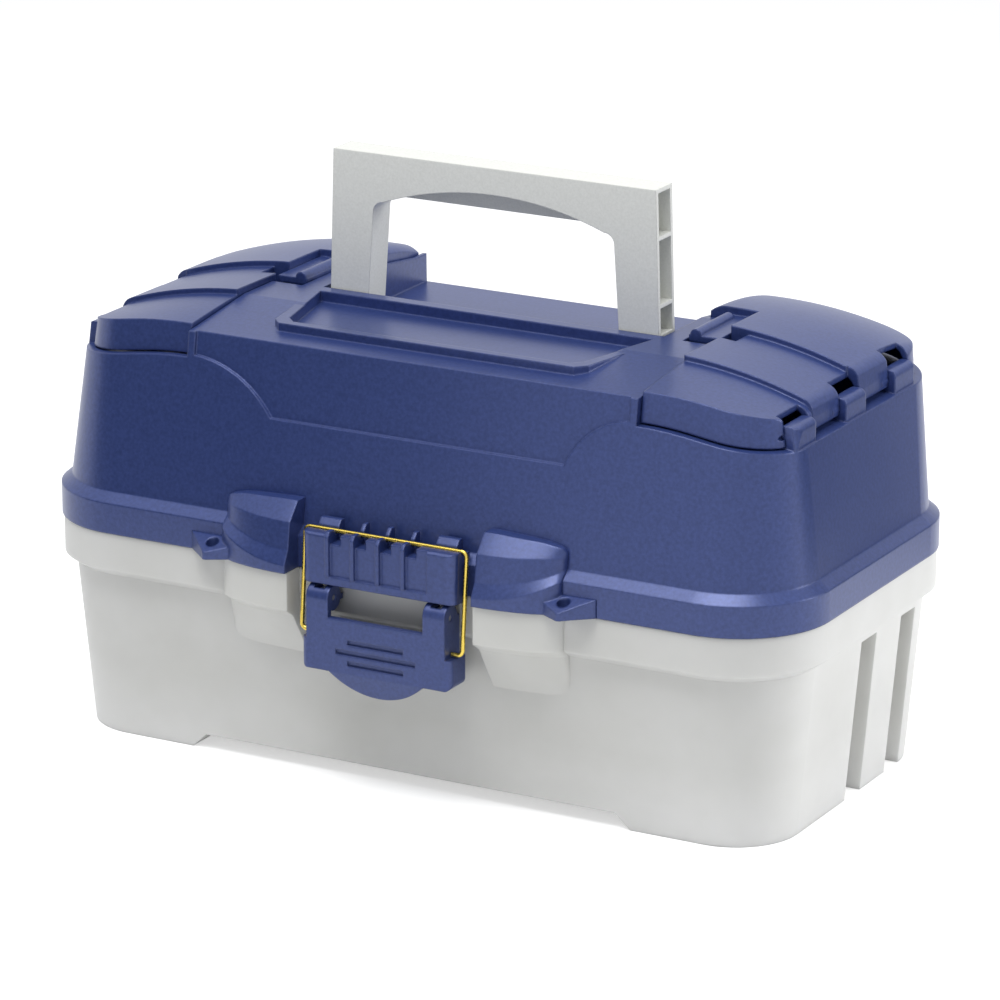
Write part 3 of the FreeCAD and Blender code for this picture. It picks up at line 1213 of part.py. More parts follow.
def make_lever():
    """The lever: a front plate with side walls that reach back to the base, and two arms with eyes."""
    axis_y = lever_front_y + s.lever_eye
    lever_rear_y = lever_front_y + s.lever_depth
    shoulder = bail_foot_z - s.bail_wire - s.bail_gap * 2
    corner = s.lever_corner * (1 - math.cos(math.pi / 4))
    owner = body("lever_body")
    face = sketch_on(owner, "lever_face", "XZ_Plane")
    draw_outline(face, [
        (s.lever_corner - s.lever_half, lever_bottom), (s.lever_half - s.lever_corner, lever_bottom, corner),
        (s.lever_half, lever_bottom + s.lever_corner), (s.lever_half, shoulder), (s.arm_half, shoulder),
        (s.arm_half, lever_axis_z), (s.window_half, lever_axis_z), (s.window_half, window_bottom),
        (-s.window_half, window_bottom), (-s.window_half, lever_axis_z), (-s.arm_half, lever_axis_z),
        (-s.arm_half, shoulder), (-s.lever_half, shoulder),
        (-s.lever_half, lever_bottom + s.lever_corner, corner)])
    raise_sketch(face, -lever_front_y)
    pad(owner, "lever_pad", face, s.lever_depth, reverse=True)
    back = sketch_on(owner, "lever_back", "XZ_Plane")
    draw_outline(back, rectangle(s.lever_plate - s.arm_half, lever_bottom + s.lever_plate,
                                 s.arm_half - s.lever_plate, window_bottom + s.overrun))
    raise_sketch(back, -lever_front_y - s.lever_depth)
    pocket(owner, "lever_hollow", back, s.lever_depth - s.lever_plate, reverse=True)
    short_groove_share = 0.7
    for number in range(3):
        slot = sketch_on(owner, f"lever_groove_{number}", "XZ_Plane")
        half = s.groove_half if number == 1 else s.groove_half * short_groove_share
        low = groove_middle + s.groove_pitch * (number - 1) - s.groove_height / 2
        draw_outline(slot, rectangle(-half, low, half, low + s.groove_height))
        raise_sketch(slot, -lever_front_y)
        pocket(owner, f"lever_groove_cut_{number}", slot, s.groove_depth)
    plan = outline("lever_plan", "XY", [
        (-s.lever_half, lever_rear_y), (-s.lever_half, lever_front_y + s.lever_corner, corner),
        (s.lever_corner - s.lever_half, lever_front_y),
        (s.lever_half - s.lever_corner, lever_front_y, corner),
        (s.lever_half, lever_front_y + s.lever_corner), (s.lever_half, lever_rear_y)])
    field = extrude("lever_field", plan, "XY", lever_axis_z - lever_bottom, lever_bottom)
    plate = common("lever_rounded", [owner, field])
    tab_face = outline("thumb_face", "XZ", [
        (-s.thumb_half, lever_bottom, s.thumb_reach), (s.thumb_half, lever_bottom),
        (s.thumb_half, lever_bottom + s.lever_plate), (-s.thumb_half, lever_bottom + s.lever_plate)])
    tab_line = outline("thumb_line", "YZ", [
        (lever_front_y, lever_bottom + s.lever_plate), (lever_front_y, lever_bottom),
        (lever_front_y + s.thumb_slope, lever_bottom - s.thumb_reach),
        (lever_front_y + s.thumb_slope + s.lever_plate, lever_bottom - s.thumb_reach),
        (lever_front_y + s.lever_plate, lever_bottom + s.lever_plate)])
    tab = common("thumb_tab", [extrude("thumb_slab", tab_face, "XZ", s.lever_depth, lever_front_y),
                               extrude("thumb_bend", tab_line, "YZ", 2 * s.thumb_half, -s.thumb_half)])
    eyes = rod("lever_eye_rod", "X", (s.window_half, axis_y, lever_axis_z), s.lever_eye,
               s.arm_half - s.window_half)
    solid = fuse("lever_with_eyes", [plate, tab] + both_sides("lever_eye_rod", eyes))
    slot_low = lever_axis_z - s.lug_height / 2 - s.lug_gap
    slot = box("lever_slot", (s.window_half + s.arm_wall, axis_y - s.lug_height / 2 - s.lug_gap, slot_low),
               (s.arm_half - s.arm_wall, lever_rear_y + s.overrun, lever_axis_z + 2 * s.lever_eye))
    hole = rod("lever_hole", "X", (s.window_half - s.overrun, axis_y, lever_axis_z),
               s.latch_pin_radius + s.run_fit,
               s.arm_half - s.window_half + 2 * s.overrun)
    openings = both_sides("lever_slot", slot) + both_sides("lever_hole", hole)
    keep("latch_lever", cut("latch_lever_solid", solid, openings))
    pin = rod("latch_pin", "X", (s.window_half + s.lug_gap, axis_y, lever_axis_z), s.latch_pin_radius,
              s.arm_half - s.window_half - 2 * s.lug_gap)
    keep("latch_pins", fuse("latch_pin_pair", both_sides("latch_pin", pin)))


def make_bail():
    """One bent wire: the top bar, two sides and two short feet turned inwards, all in one plane."""
    drop = bail_bar_z - bail_foot_z
    reach = bail_foot_y - bail_bar_y
    length = root(drop * drop + reach * reach)
    foot_end = s.arm_half + s.bail_gap
    path = doc.addObject("Sketcher::SketchObject", "bail_path")
    side = s.bail_half
    r = s.bail_bend
    rest = 1 - math.cos(math.pi / 4)
    corners = [(foot_end, -length), (side - r, -length), (side, r - length), (side, -r), (side - r, ZERO),
               (r - side, ZERO), (-side, -r), (-side, r - length), (r - side, -length), (-foot_end, -length)]
    for edge in range(len(corners) - 1):
        a = corners[edge]
        b = corners[edge + 1]
        first = Vector(a[0].value, a[1].value, 0)
        last = Vector(b[0].value, b[1].value, 0)
        if edge % 2:
            run = last - first
            out = Vector(run.y, -run.x, 0).normalize() * r.value * rest
            path.addGeometry(Part.Arc(first, (first + last) / 2 + out, last), False)
        else:
            path.addGeometry(Part.LineSegment(first, last), False)
    points = []
    for edge in range(len(corners) - 1):
        first = Vector(corners[edge][0].value, corners[edge][1].value, 0)
        near = path.Geometry[edge].StartPoint.distanceToPoint(first) < r.value / 100
        points.append(1 if near else 2)
        tie_point(path, edge, points[-1], *corners[edge])
        if edge % 2:
            tie = path.addConstraint(Sketcher.Constraint("Radius", edge, r.value))
            path.setExpression(f"Constraints[{tie}]", r.text)
        if edge:
            ends = (edge - 1, 3 - points[edge - 1], edge, points[edge])
            path.addConstraint(Sketcher.Constraint("Coincident", *ends))
    tie_point(path, len(corners) - 2, 3 - points[-1], *corners[-1])
    section = doc.addObject("Sketcher::SketchObject", "bail_section")
    section.addGeometry(Part.Circle(Vector(), Vector(0, 0, 1), s.bail_wire.value), False)
    section.addConstraint(Sketcher.Constraint("Coincident", 0, 3, -1, 1))
    tie = section.addConstraint(Sketcher.Constraint("Radius", 0, s.bail_wire.value))
    section.setExpression(f"Constraints[{tie}]", s.bail_wire.text)
    section.Placement = Placement(Vector(), Rotation(Vector(0, 1, 0), 90))
    place(section, foot_end, -length, ZERO)
    wire = doc.addObject("Part::Sweep", "bail_wire_sweep")
    wire.Sections = [section]
    wire.Spine = (path, [f"Edge{edge + 1}" for edge in range(len(corners) - 1)])
    wire.Solid = True
    tilt = angle_of(drop, -reach)
    wire.Placement = Placement(Vector(), Rotation(Vector(1, 0, 0), tilt.value))
    wire.setExpression("Placement.Rotation.Angle", tilt.text)
    place(wire, ZERO, bail_bar_y, bail_bar_z)
    keep("latch_bail", wire)


def tray_pivots(level):
    """Places of a tray's two pivots: the front arm's and the rear arm's. Level 0 is the lower tray."""
    front_y = pivot_front_y + s.pivot_step_y * (1 - level)
    height = tray_bottom + s.tray_pitch * level + s.pivot_height
    return [(front_y, height), (front_y + s.arm_spread, height)]


def make_tray(node, level):
    """A moulded tray: a floor, four walls, one long rib and small ribs that hold the dividers."""
    bottom = tray_bottom + s.tray_pitch * level
    middle_y = (tray_front_y + tray_rear_y) / 2
    half_y = (tray_rear_y - tray_front_y) / 2
    owner = body(node + "_body")
    plan = sketch_on(owner, node + "_plan", "XY_Plane")
    draw_rounded(plan, tray_half, half_y, s.tray_corner)
    pad(owner, node + "_block", plan, s.tray_height)
    rows = [(tray_front_y + s.tray_skin, s.tray_row_y - s.tray_skin / 2),
            (s.tray_row_y + s.tray_skin / 2, tray_rear_y - s.tray_skin)]
    inner_half = tray_half - s.tray_skin
    for number, (front, rear) in enumerate(rows):
        well = sketch_on(owner, f"{node}_well_{number}", "XY_Plane")
        draw_outline(well, well_points(number, inner_half, front - middle_y, rear - middle_y))
        raise_sketch(well, s.tray_skin)
        pocket(owner, f"{node}_well_cut_{number}", well, s.tray_height, reverse=True)
    place(owner, ZERO, middle_y, bottom)
    holders = []
    gap = s.divider_thick / 2 + s.divider_gap
    top = bottom + s.tray_height - s.divider_drop
    for row, (front, rear) in enumerate(rows):
        for number in range(int(s.divider_count.value)):
            x = divider_place(number)
            for side in (-1, 1):
                near = x + side * gap if side > 0 else x - gap - s.slot_rib
                for end, (a, b) in enumerate(((front, front + s.slot_reach), (rear - s.slot_reach, rear))):
                    low_y = a - s.tray_skin / 2 if end == 0 else a
                    high_y = b if end == 0 else b + s.tray_skin / 2
                    holders.append(box(f"{node}_holder_{row}_{number}_{side + 1}_{end}",
                                       (near, low_y, bottom + s.tray_skin / 2),
                                       (near + s.slot_rib, high_y, top)))
    pads_list = []
    for number, (y, z) in enumerate(tray_pivots(level)):
        hole = rod(f"{node}_pivot_hole_{number}", "X", (tray_half - s.tray_skin - s.overrun, y, z),
                   s.rivet_radius + s.run_fit, 2 * s.overrun)
        pads_list += both_sides(f"{node}_pivot_hole_{number}", hole)
    keep(node, cut(node + "_solid", fuse(node + "_with_holders", [owner] + holders), pads_list))
    return rows, bottom


def well_points(row, half, front, rear):
    """One row of the tray: its two outer corners are rounded with the tray's own corner."""
    r = s.tray_corner - s.tray_skin
    bulge = r * (1 - math.cos(math.pi / 4))
    if row == 0:
        return [(-half + r, front), (half - r, front, bulge), (half, front + r), (half, rear), (-half, rear),
                (-half, front + r, bulge)]
    return [(-half, front), (half, front), (half, rear - r, bulge), (half - r, rear), (r - half, rear, bulge),
            (-half, rear - r)]


def divider_place(number):
    """Places along the tray that split it evenly."""
    inner_half = tray_half - s.tray_skin
    return -inner_half + 2 * inner_half * (number + 1) / (s.divider_count + 1)


def make_dividers(node, rows, bottom, used):
    plates = []
    top = bottom + s.tray_height - s.divider_drop
    for row, (front, rear) in enumerate(rows):
        for number in used[row]:
            x = divider_place(number)
            plates.append(box(f"{node}_{row}_{number}",
                              (x - s.divider_thick / 2, front + s.divider_gap, bottom + s.tray_skin),
                              (x + s.divider_thick / 2, rear - s.divider_gap, top)))
    keep(node, fuse(node + "_group", plates))


def make_arm(node, forward):
    """A flat strap with three holes, drawn level and then turned up to its folded slope."""
    step = root(s.pivot_step_y * s.pivot_step_y + s.tray_pitch * s.tray_pitch)
    lower = s.pivot_share * step
    length = lower + step
    half = s.arm_width / 2
    owner = body(node + "_body")
    plan = sketch_on(owner, node + "_plan", "YZ_Plane")
    draw_outline(plan, [(-length, -half), (ZERO, -half, half), (ZERO, half), (-length, half, half)])
    raise_sketch(plan, arm_inner_x)
    pad(owner, node + "_strap", plan, s.arm_thick)
    holes = sketch_on(owner, node + "_holes", "YZ_Plane")
    for number, place_along in enumerate((ZERO, -lower, -length)):
        middle = Vector(place_along.value, 0, 0)
        holes.addGeometry(Part.Circle(middle, Vector(0, 0, 1), s.rivet_radius.value), False)
        tie_point(holes, number, 3, place_along, ZERO)
        radius = s.rivet_radius + s.run_fit
        tie = holes.addConstraint(Sketcher.Constraint("Radius", number, radius.value))
        holes.setExpression(f"Constraints[{tie}]", radius.text)
    raise_sketch(holes, arm_inner_x)
    pocket(owner, node + "_hole_cut", holes, s.arm_thick, reverse=True)
    slope = angle_of(s.tray_pitch, s.pivot_step_y)
    owner.Placement = Placement(Vector(), Rotation(Vector(-1, 0, 0), slope.value))
    owner.setExpression("Placement.Rotation.Angle", slope.text)
    place(owner, ZERO, base_pivot_y + forward, base_pivot_z)
    keep(node + "_right", owner)
    keep(node + "_left", mirrored(node + "_mirror", owner))


def make_rivets():
    """Headed rivets: in the base's bosses from inside, and in the trays from outside the arms."""
    base_rivets = []
    for number, forward in enumerate((ZERO, s.arm_spread)):
        y = base_pivot_y + forward
        start = arm_inner_x - s.arm_gap / 2
        shank = rod(f"base_rivet_shank_{number}", "X", (start, y, base_pivot_z), s.rivet_radius,
                    boss_face_x - arm_inner_x + s.boss_radius)
        head = rod(f"base_rivet_head_{number}", "X", (start - s.rivet_head_thick / 2, y, base_pivot_z),
                   s.rivet_head, s.rivet_head_thick / 2)
        base_rivets += both_sides(f"base_rivet_shank_{number}", shank)
        base_rivets += both_sides(f"base_rivet_head_{number}", head)
    keep("base_arm_rivets", fuse("base_rivet_group", base_rivets))
    for node, level in (("lower_tray_rivets", 0), ("upper_tray_rivets", 1)):
        made = []
        for number, (y, z) in enumerate(tray_pivots(level)):
            start = tray_half - s.tray_skin - s.arm_gap / 2
            shank = rod(f"{node}_shank_{number}", "X", (start, y, z), s.rivet_radius,
                        arm_outer_x + s.arm_gap / 4 - start)
            head = rod(f"{node}_head_{number}", "X", (arm_outer_x + s.arm_gap / 4, y, z), s.rivet_head,
                       s.rivet_head_thick / 2)
            made += both_sides(f"{node}_shank_{number}", shank)
            made += both_sides(f"{node}_head_{number}", head)
        keep(node, fuse(node + "_group", made))


make_base()
make_hinge_pins()
make_lid()
make_latch_catch()
make_compartments()
make_tie_ears()
make_access_lids()
make_handle()
make_lever()
make_bail()
lower_rows, lower_bottom = make_tray("lower_tray", 0)
upper_rows, upper_bottom = make_tray("upper_tray", 1)
make_dividers("lower_tray_dividers", lower_rows, lower_bottom, [(1, 3), (2,)])
make_dividers("upper_tray_dividers", upper_rows, upper_bottom, [(0, 1, 2, 3, 4), (1, 2, 3)])
make_arm("front_arm", ZERO)
make_arm("rear_arm", s.arm_spread)
make_rivets()
doc.recompute()

for thing in doc.Objects:
    if "Invalid" in thing.State or "Error" in thing.State:
        raise RuntimeError(f"{thing.Name} failed: {thing.State}")
for node, solid in pieces:
    if solid.Shape.isNull() or not solid.Shape.isValid():
        raise RuntimeError(f"{node} is not a valid shape")

os.makedirs("parts", exist_ok=True)
for node, solid in pieces:
    solid.Shape.exportStep(f"parts/{node}.step")
    box_of = solid.Shape.BoundBox
    print(f"{node:24s} solids {len(solid.Shape.Solids):2d} volume {solid.Shape.Volume:10.1f}"
          f" x {box_of.XMin:7.1f} {box_of.XMax:7.1f} y {box_of.YMin:7.1f} {box_of.YMax:7.1f}"
          f" z {box_of.ZMin:7.1f} {box_of.ZMax:7.1f}")
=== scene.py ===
"""Looks of the portable tackle box: navy lid, frosted base, grey handle and brass bail."""
import json
import math

import bpy
from mathutils import Matrix, Vector

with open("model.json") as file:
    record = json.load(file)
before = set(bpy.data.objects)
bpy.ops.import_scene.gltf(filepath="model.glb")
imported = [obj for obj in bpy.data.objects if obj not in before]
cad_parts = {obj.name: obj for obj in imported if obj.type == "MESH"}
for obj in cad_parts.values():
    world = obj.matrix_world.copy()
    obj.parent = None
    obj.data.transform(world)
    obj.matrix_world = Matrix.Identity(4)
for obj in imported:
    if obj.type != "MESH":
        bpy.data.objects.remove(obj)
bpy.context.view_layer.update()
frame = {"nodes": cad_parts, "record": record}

MM = 0.001
WHITE = "#FFFFFF"
GRAIN_ROUGHNESS = 0.55  # how ragged the edges of every noise's spots are

# The photograph's camera, solved from the box's straight edges and round corners, in degrees and metres
CAMERA_AZIMUTH = 28.790
CAMERA_ELEVATION = 17.389
CAMERA_DISTANCE = 2282.83 * MM
CAMERA_AIM_HEIGHT = 100 * MM
CAMERA_AIM_RIGHT = 1.554 * MM
CAMERA_AIM_UP = 5.029 * MM
CAMERA_SENSOR_MM = 36
CAMERA_LENS_MM = 192.068
CAMERA_FAR = 50

FLOOR_REACH = 6.0
CARD_HEIGHT = 0.5


# Colour and node helpers
def linear(hex_colour, alpha=1.0):
    """An sRGB hex colour as the linear values that shaders take."""
    channels = []
    for start in (1, 3, 5):
        share = int(hex_colour[start:start + 2], 16) / 255
        low = share <= 0.04045
        channels.append(share / 12.92 if low else ((share + 0.055) / 1.055) ** 2.4)
    return (*channels, alpha)


def add_node(tree, kind, sockets=None, **settings):
    """Adds a node, sets its fields, and gives each socket a value or a link from another node."""
    node = tree.nodes.new(kind)
    for field, value in settings.items():
        setattr(node, field, value)
    for socket, value in (sockets or {}).items():
        if isinstance(value, bpy.types.NodeSocket):
            tree.links.new(value, node.inputs[socket])
        else:
            node.inputs[socket].default_value = value
    return node


def new_material(name):
    material = bpy.data.materials.new(name)
    material.use_nodes = True
    material.node_tree.nodes.clear()
    return material, material.node_tree


# Materials
def pearl_polypropylene():
    """Injection moulded navy polypropylene with a fine pearl: satin, with blue-tinted highlights.
    The pearl's flakes are about 0.1 mm and drawn as soft 1.6 mm clouds, so that they show a little."""
    material, tree = new_material("pearl_polypropylene")
    place = add_node(tree, "ShaderNodeTexCoord").outputs["Object"]
    edge = add_node(tree, "ShaderNodeBevel", {"Radius": 1.2 * MM}, samples=6)
    fine = add_node(tree, "ShaderNodeTexNoise", {
        "Vector": place, "Scale": 1 / (0.9 * MM), "Detail": 2, "Roughness": GRAIN_ROUGHNESS})
    flakes = add_node(tree, "ShaderNodeTexNoise", {
        "Vector": place, "Scale": 1 / (1.6 * MM), "Detail": 3, "Roughness": GRAIN_ROUGHNESS})
    broad = add_node(tree, "ShaderNodeTexNoise", {
        "Vector": place, "Scale": 1 / (70 * MM), "Detail": 2, "Roughness": GRAIN_ROUGHNESS})
    pearl = add_node(tree, "ShaderNodeMapRange", {
        "Value": flakes.outputs["Fac"], "From Min": 0.3, "From Max": 0.7})
    tone = add_node(tree, "ShaderNodeMix", {
        "Factor": pearl.outputs[0], "A": linear("#2E3D70"), "B": linear("#384880")},
        data_type="RGBA")
    rough = add_node(tree, "ShaderNodeMapRange", {
        "Value": broad.outputs["Fac"], "To Min": 0.28, "To Max": 0.35})
    bump = add_node(tree, "ShaderNodeBump", {
        "Strength": 0.12, "Distance": 0.05 * MM, "Height": fine.outputs["Fac"],
        "Normal": edge.outputs[0]})
    shader = add_node(tree, "ShaderNodeBsdfPrincipled", {
        "Base Color": tone.outputs["Result"], "Metallic": 0.25, "Roughness": rough.outputs[0],
        "IOR": 1.49, "Specular IOR Level": 0.6, "Normal": bump.outputs[0]})
    add_node(tree, "ShaderNodeOutputMaterial", {"Surface": shader.outputs[0]})
    return material


def frosted_polypropylene():
    """Natural polypropylene with a frosted face. The middle of each wall is painted darker, as painted
    shade for the dark inside showing through, and the ends and feet are painted lighter, as painted light
    from the white floor."""
    material, tree = new_material("frosted_polypropylene")
    # Bounds of the painted shade in the middle and of the painted light at the ends and feet
    painted_shade_half = 10 * MM
    painted_light_half = 178 * MM
    foot_light_rise = 34 * MM
    place = add_node(tree, "ShaderNodeTexCoord").outputs["Object"]
    edge = add_node(tree, "ShaderNodeBevel", {"Radius": 0.8 * MM}, samples=6)
    fine = add_node(tree, "ShaderNodeTexNoise", {
        "Vector": place, "Scale": 1 / (0.8 * MM), "Detail": 2, "Roughness": GRAIN_ROUGHNESS})
    cloud = add_node(tree, "ShaderNodeTexNoise", {
        "Vector": place, "Scale": 1 / (45 * MM), "Detail": 3, "Roughness": GRAIN_ROUGHNESS})
    axes = add_node(tree, "ShaderNodeSeparateXYZ", {0: place})
    aside = add_node(tree, "ShaderNodeMath", {0: axes.outputs["X"]}, operation="ABSOLUTE")
    # Painted light: the colour grows lighter towards the ends of each wall, leaving painted shade in the
    # middle
    painted_end_light = add_node(tree, "ShaderNodeMapRange", {
        "Value": aside.outputs[0], "From Min": painted_shade_half, "From Max": painted_light_half, "To Max": 0.35})
    # Painted light: the colour grows lighter towards the feet
    painted_foot_light = add_node(tree, "ShaderNodeMapRange", {
        "Value": axes.outputs["Z"], "From Min": foot_light_rise, "From Max": 0, "To Max": 0.35})
    painted_light = add_node(tree, "ShaderNodeMath", {0: painted_end_light.outputs[0], 1: painted_foot_light.outputs[0]}, operation="ADD")
    cloud_and_painted_light = add_node(tree, "ShaderNodeMath", {
        0: cloud.outputs["Fac"], 1: 0.5, 2: painted_light.outputs[0]}, operation="MULTIPLY_ADD", use_clamp=True)
    # The darker colour is the painted shade of the middle, the lighter one the painted light of the ends
    # and feet; the clouds add random tone
    tone = add_node(tree, "ShaderNodeMix", {
        "Factor": cloud_and_painted_light.outputs[0], "A": linear("#C2C2BC"), "B": linear("#EEEEEC")},
        data_type="RGBA")
    bump = add_node(tree, "ShaderNodeBump", {
        "Strength": 0.2, "Distance": 0.06 * MM, "Height": fine.outputs["Fac"],
        "Normal": edge.outputs[0]})
    shader = add_node(tree, "ShaderNodeBsdfPrincipled", {
        "Base Color": tone.outputs["Result"], "Roughness": 0.42, "IOR": 1.49,
        "Subsurface Weight": 0.5, "Subsurface Radius": (1.0, 1.0, 0.95),
        "Subsurface Scale": 6 * MM, "Normal": bump.outputs[0]})
    add_node(tree, "ShaderNodeOutputMaterial", {"Surface": shader.outputs[0]})
    return material


def grey_polypropylene():
    """Injection moulded grey polypropylene: warm, matt, with an eroded grain like fine leather."""
    material, tree = new_material("grey_polypropylene")
    place = add_node(tree, "ShaderNodeTexCoord").outputs["Object"]
    edge = add_node(tree, "ShaderNodeBevel", {"Radius": 0.6 * MM}, samples=6)
    fine = add_node(tree, "ShaderNodeTexNoise", {
        "Vector": place, "Scale": 1 / (1.0 * MM), "Detail": 2, "Roughness": GRAIN_ROUGHNESS})
    tone = add_node(tree, "ShaderNodeMix", {
        "Factor": fine.outputs["Fac"], "A": linear("#D4D5CF"), "B": linear("#E8E9E4")},
        data_type="RGBA")
    bump = add_node(tree, "ShaderNodeBump", {
        "Strength": 0.35, "Distance": 0.1 * MM, "Height": fine.outputs["Fac"],
        "Normal": edge.outputs[0]})
    shader = add_node(tree, "ShaderNodeBsdfPrincipled", {
        "Base Color": tone.outputs["Result"], "Roughness": 0.52, "IOR": 1.49,
        "Normal": bump.outputs[0]})
    add_node(tree, "ShaderNodeOutputMaterial", {"Surface": shader.outputs[0]})
    return material


def tray_polypropylene(name, dark, light):
    """Thin moulded polypropylene: pale, even and a little glossy from a polished mould."""
    material, tree = new_material(name)
    place = add_node(tree, "ShaderNodeTexCoord").outputs["Object"]
    edge = add_node(tree, "ShaderNodeBevel", {"Radius": 0.5 * MM}, samples=6)
    cloud = add_node(tree, "ShaderNodeTexNoise", {
        "Vector": place, "Scale": 1 / (40 * MM), "Detail": 3, "Roughness": GRAIN_ROUGHNESS})
    tone = add_node(tree, "ShaderNodeMix", {
        "Factor": cloud.outputs["Fac"], "A": linear(dark), "B": linear(light)}, data_type="RGBA")
    shader = add_node(tree, "ShaderNodeBsdfPrincipled", {
        "Base Color": tone.outputs["Result"], "Roughness": 0.36, "IOR": 1.49,
        "Normal": edge.outputs[0]})
    add_node(tree, "ShaderNodeOutputMaterial", {"Surface": shader.outputs[0]})
    return material


def drawn_wire(name, colour, smooth, worn, spot):
    """Drawn metal wire: bright, with small spots where the die left it duller."""
    material, tree = new_material(name)
    place = add_node(tree, "ShaderNodeTexCoord").outputs["Object"]
    spots = add_node(tree, "ShaderNodeTexNoise", {
        "Vector": place, "Scale": 1 / spot, "Detail": 2, "Roughness": GRAIN_ROUGHNESS})
    rough = add_node(tree, "ShaderNodeMapRange", {
        "Value": spots.outputs["Fac"], "To Min": smooth, "To Max": worn})
    shader = add_node(tree, "ShaderNodeBsdfPrincipled", {
        "Base Color": linear(colour), "Metallic": 1.0, "Roughness": rough.outputs[0]})
    add_node(tree, "ShaderNodeOutputMaterial", {"Surface": shader.outputs[0]})
    return material


finishes = {
    "blue_lid": pearl_polypropylene(),
    "frosted_base": frosted_polypropylene(),
    "grey_handle": grey_polypropylene(),
    "brass_wire": drawn_wire("drawn_brass", "#D8BE5A", smooth=0.21, worn=0.34, spot=0.8 * MM),
    "tray_plastic": tray_polypropylene("tray_polypropylene", "#B9BBB6", "#C6C8C3"),
    "divider_plastic": tray_polypropylene("divider_polypropylene", "#CFD0CB", "#DADBD6"),
    "steel_pin": drawn_wire("drawn_steel", "#B4B4B6", smooth=0.25, worn=0.38, spot=0.6 * MM),
}
for part in frame["record"]["subparts"]:
    node = frame["nodes"][part["node"]]
    node.data.materials.clear()
    node.data.materials.append(finishes[part["material_slot"]])


# Camera, floor and light
def place_camera():
    """The camera at the photograph's angle, distance and focal length."""
    azimuth = math.radians(CAMERA_AZIMUTH)
    elevation = math.radians(CAMERA_ELEVATION)
    level = math.cos(elevation)
    back = Vector((math.sin(azimuth) * level, -math.cos(azimuth) * level, math.sin(elevation)))
    right = Vector((math.cos(azimuth), math.sin(azimuth), 0))
    up = back.cross(right)
    target = Vector((0, 0, CAMERA_AIM_HEIGHT)) + right * CAMERA_AIM_RIGHT + up * CAMERA_AIM_UP
    data = bpy.data.cameras.new("photo_camera")
    data.sensor_width = CAMERA_SENSOR_MM
    data.lens = CAMERA_LENS_MM
    data.clip_end = CAMERA_FAR
    camera = bpy.data.objects.new("photo_camera", data)
    turn = Matrix((right, up, back)).transposed()
    camera.matrix_world = Matrix.Translation(target + back * CAMERA_DISTANCE) @ turn.to_4x4()
    bpy.context.scene.collection.objects.link(camera)
    bpy.context.scene.camera = camera


def seen_directly(tree):
    """1 for what the camera, a reflection or a clear part sees, and 0 for light that falls on things."""
    path = add_node(tree, "ShaderNodeLightPath")
    most = path.outputs["Is Camera Ray"]
    for ray in ("Is Glossy Ray", "Is Transmission Ray"):
        most = add_node(tree, "ShaderNodeMath", {0: most, 1: path.outputs[ray]},
                        operation="MAXIMUM").outputs[0]
    return most


def flat_sheet(name, corners):
    """One square face, linked to the scene and set aside from the object."""
    mesh = bpy.data.meshes.new(name)
    mesh.from_pydata(corners, [], [(0, 1, 2, 3)])
    sheet = bpy.data.objects.new(name, mesh)
    bpy.context.scene.collection.objects.link(sheet)
    return sheet


def lay_floor():
    """White paper that keeps the object's shadow and looks white to the camera and to reflections."""
    reach = FLOOR_REACH
    floor = flat_sheet("floor", [(-reach, -reach, 0), (reach, -reach, 0), (reach, reach, 0),
                                 (-reach, reach, 0)])
    material, tree = new_material("white_paper")
    matt = add_node(tree, "ShaderNodeBsdfDiffuse", {"Color": linear("#E6E6E6")})
    bright = add_node(tree, "ShaderNodeEmission", {"Color": linear(WHITE), "Strength": 0.5})
    both = add_node(tree, "ShaderNodeAddShader", {0: matt.outputs[0], 1: bright.outputs[0]})
    shown = add_node(tree, "ShaderNodeMixShader", {
        0: seen_directly(tree), 1: matt.outputs[0], 2: both.outputs[0]})
    add_node(tree, "ShaderNodeOutputMaterial", {"Surface": shown.outputs[0]})
    floor.data.materials.append(material)


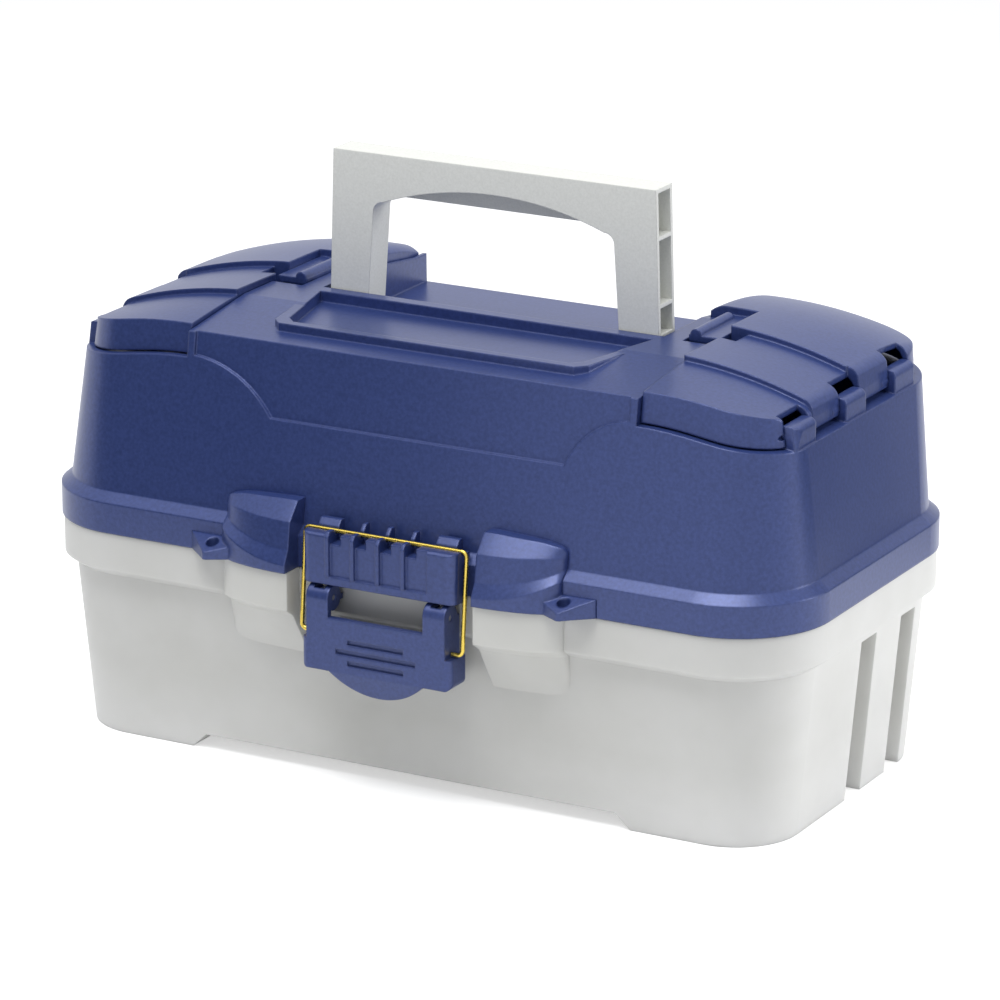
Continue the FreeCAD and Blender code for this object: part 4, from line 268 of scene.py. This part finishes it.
def dark_card(name, left, right, y):
    """A black card beside the object that deepens a wall's sheen by its reflection alone."""
    card = flat_sheet(name, [(left, y, 0), (right, y, 0), (right, y, CARD_HEIGHT), (left, y, CARD_HEIGHT)])
    material, tree = new_material(name + "_black")
    black = add_node(tree, "ShaderNodeBsdfDiffuse", {"Color": linear("#0A0A0C")})
    add_node(tree, "ShaderNodeOutputMaterial", {"Surface": black.outputs[0]})
    card.data.materials.append(material)
    card.visible_camera = False
    card.visible_diffuse = False
    card.visible_shadow = False
    card.visible_transmission = False


def light_room():
    """Even, slightly cool light from all round, in front of a white background."""
    world = bpy.data.worlds.new("studio")
    bpy.context.scene.world = world
    world.use_nodes = True
    tree = world.node_tree
    tree.nodes.clear()
    ambient = add_node(tree, "ShaderNodeBackground", {"Color": linear("#F2F4F8"), "Strength": 0.42})
    backdrop = add_node(tree, "ShaderNodeBackground", {"Color": linear(WHITE), "Strength": 1.0})
    shown = add_node(tree, "ShaderNodeMixShader", {
        0: seen_directly(tree), 1: ambient.outputs[0], 2: backdrop.outputs[0]})
    add_node(tree, "ShaderNodeOutputWorld", {"Surface": shown.outputs[0]})


def soft_lamp(name, azimuth, elevation, distance, size, power):
    """A square soft box that faces the object. Azimuth 0 is in front, and 90 at its right-hand end."""
    data = bpy.data.lights.new(name, "AREA")
    data.shape = "SQUARE"
    data.size = size
    data.energy = power
    turn = math.radians(azimuth)
    rise = math.radians(elevation)
    way = Vector((math.sin(turn) * math.cos(rise), -math.cos(turn) * math.cos(rise), math.sin(rise)))
    lamp = bpy.data.objects.new(name, data)
    lamp.location = Vector((0, 0, CAMERA_AIM_HEIGHT)) + way * distance
    lamp.rotation_mode = "QUATERNION"
    lamp.rotation_quaternion = way.to_track_quat("Z", "Y")
    bpy.context.scene.collection.objects.link(lamp)


bpy.context.scene.view_settings.view_transform = "Standard"
place_camera()
lay_floor()
dark_card("left_card", left=-1.1, right=-0.16, y=-0.45)
dark_card("rear_card", left=0.3, right=0.9, y=0.35)
light_room()
soft_lamp("top_box", azimuth=-8, elevation=72, distance=1.8, size=1.2, power=29)
soft_lamp("right_box", azimuth=118, elevation=22, distance=1.2, size=0.5, power=6)
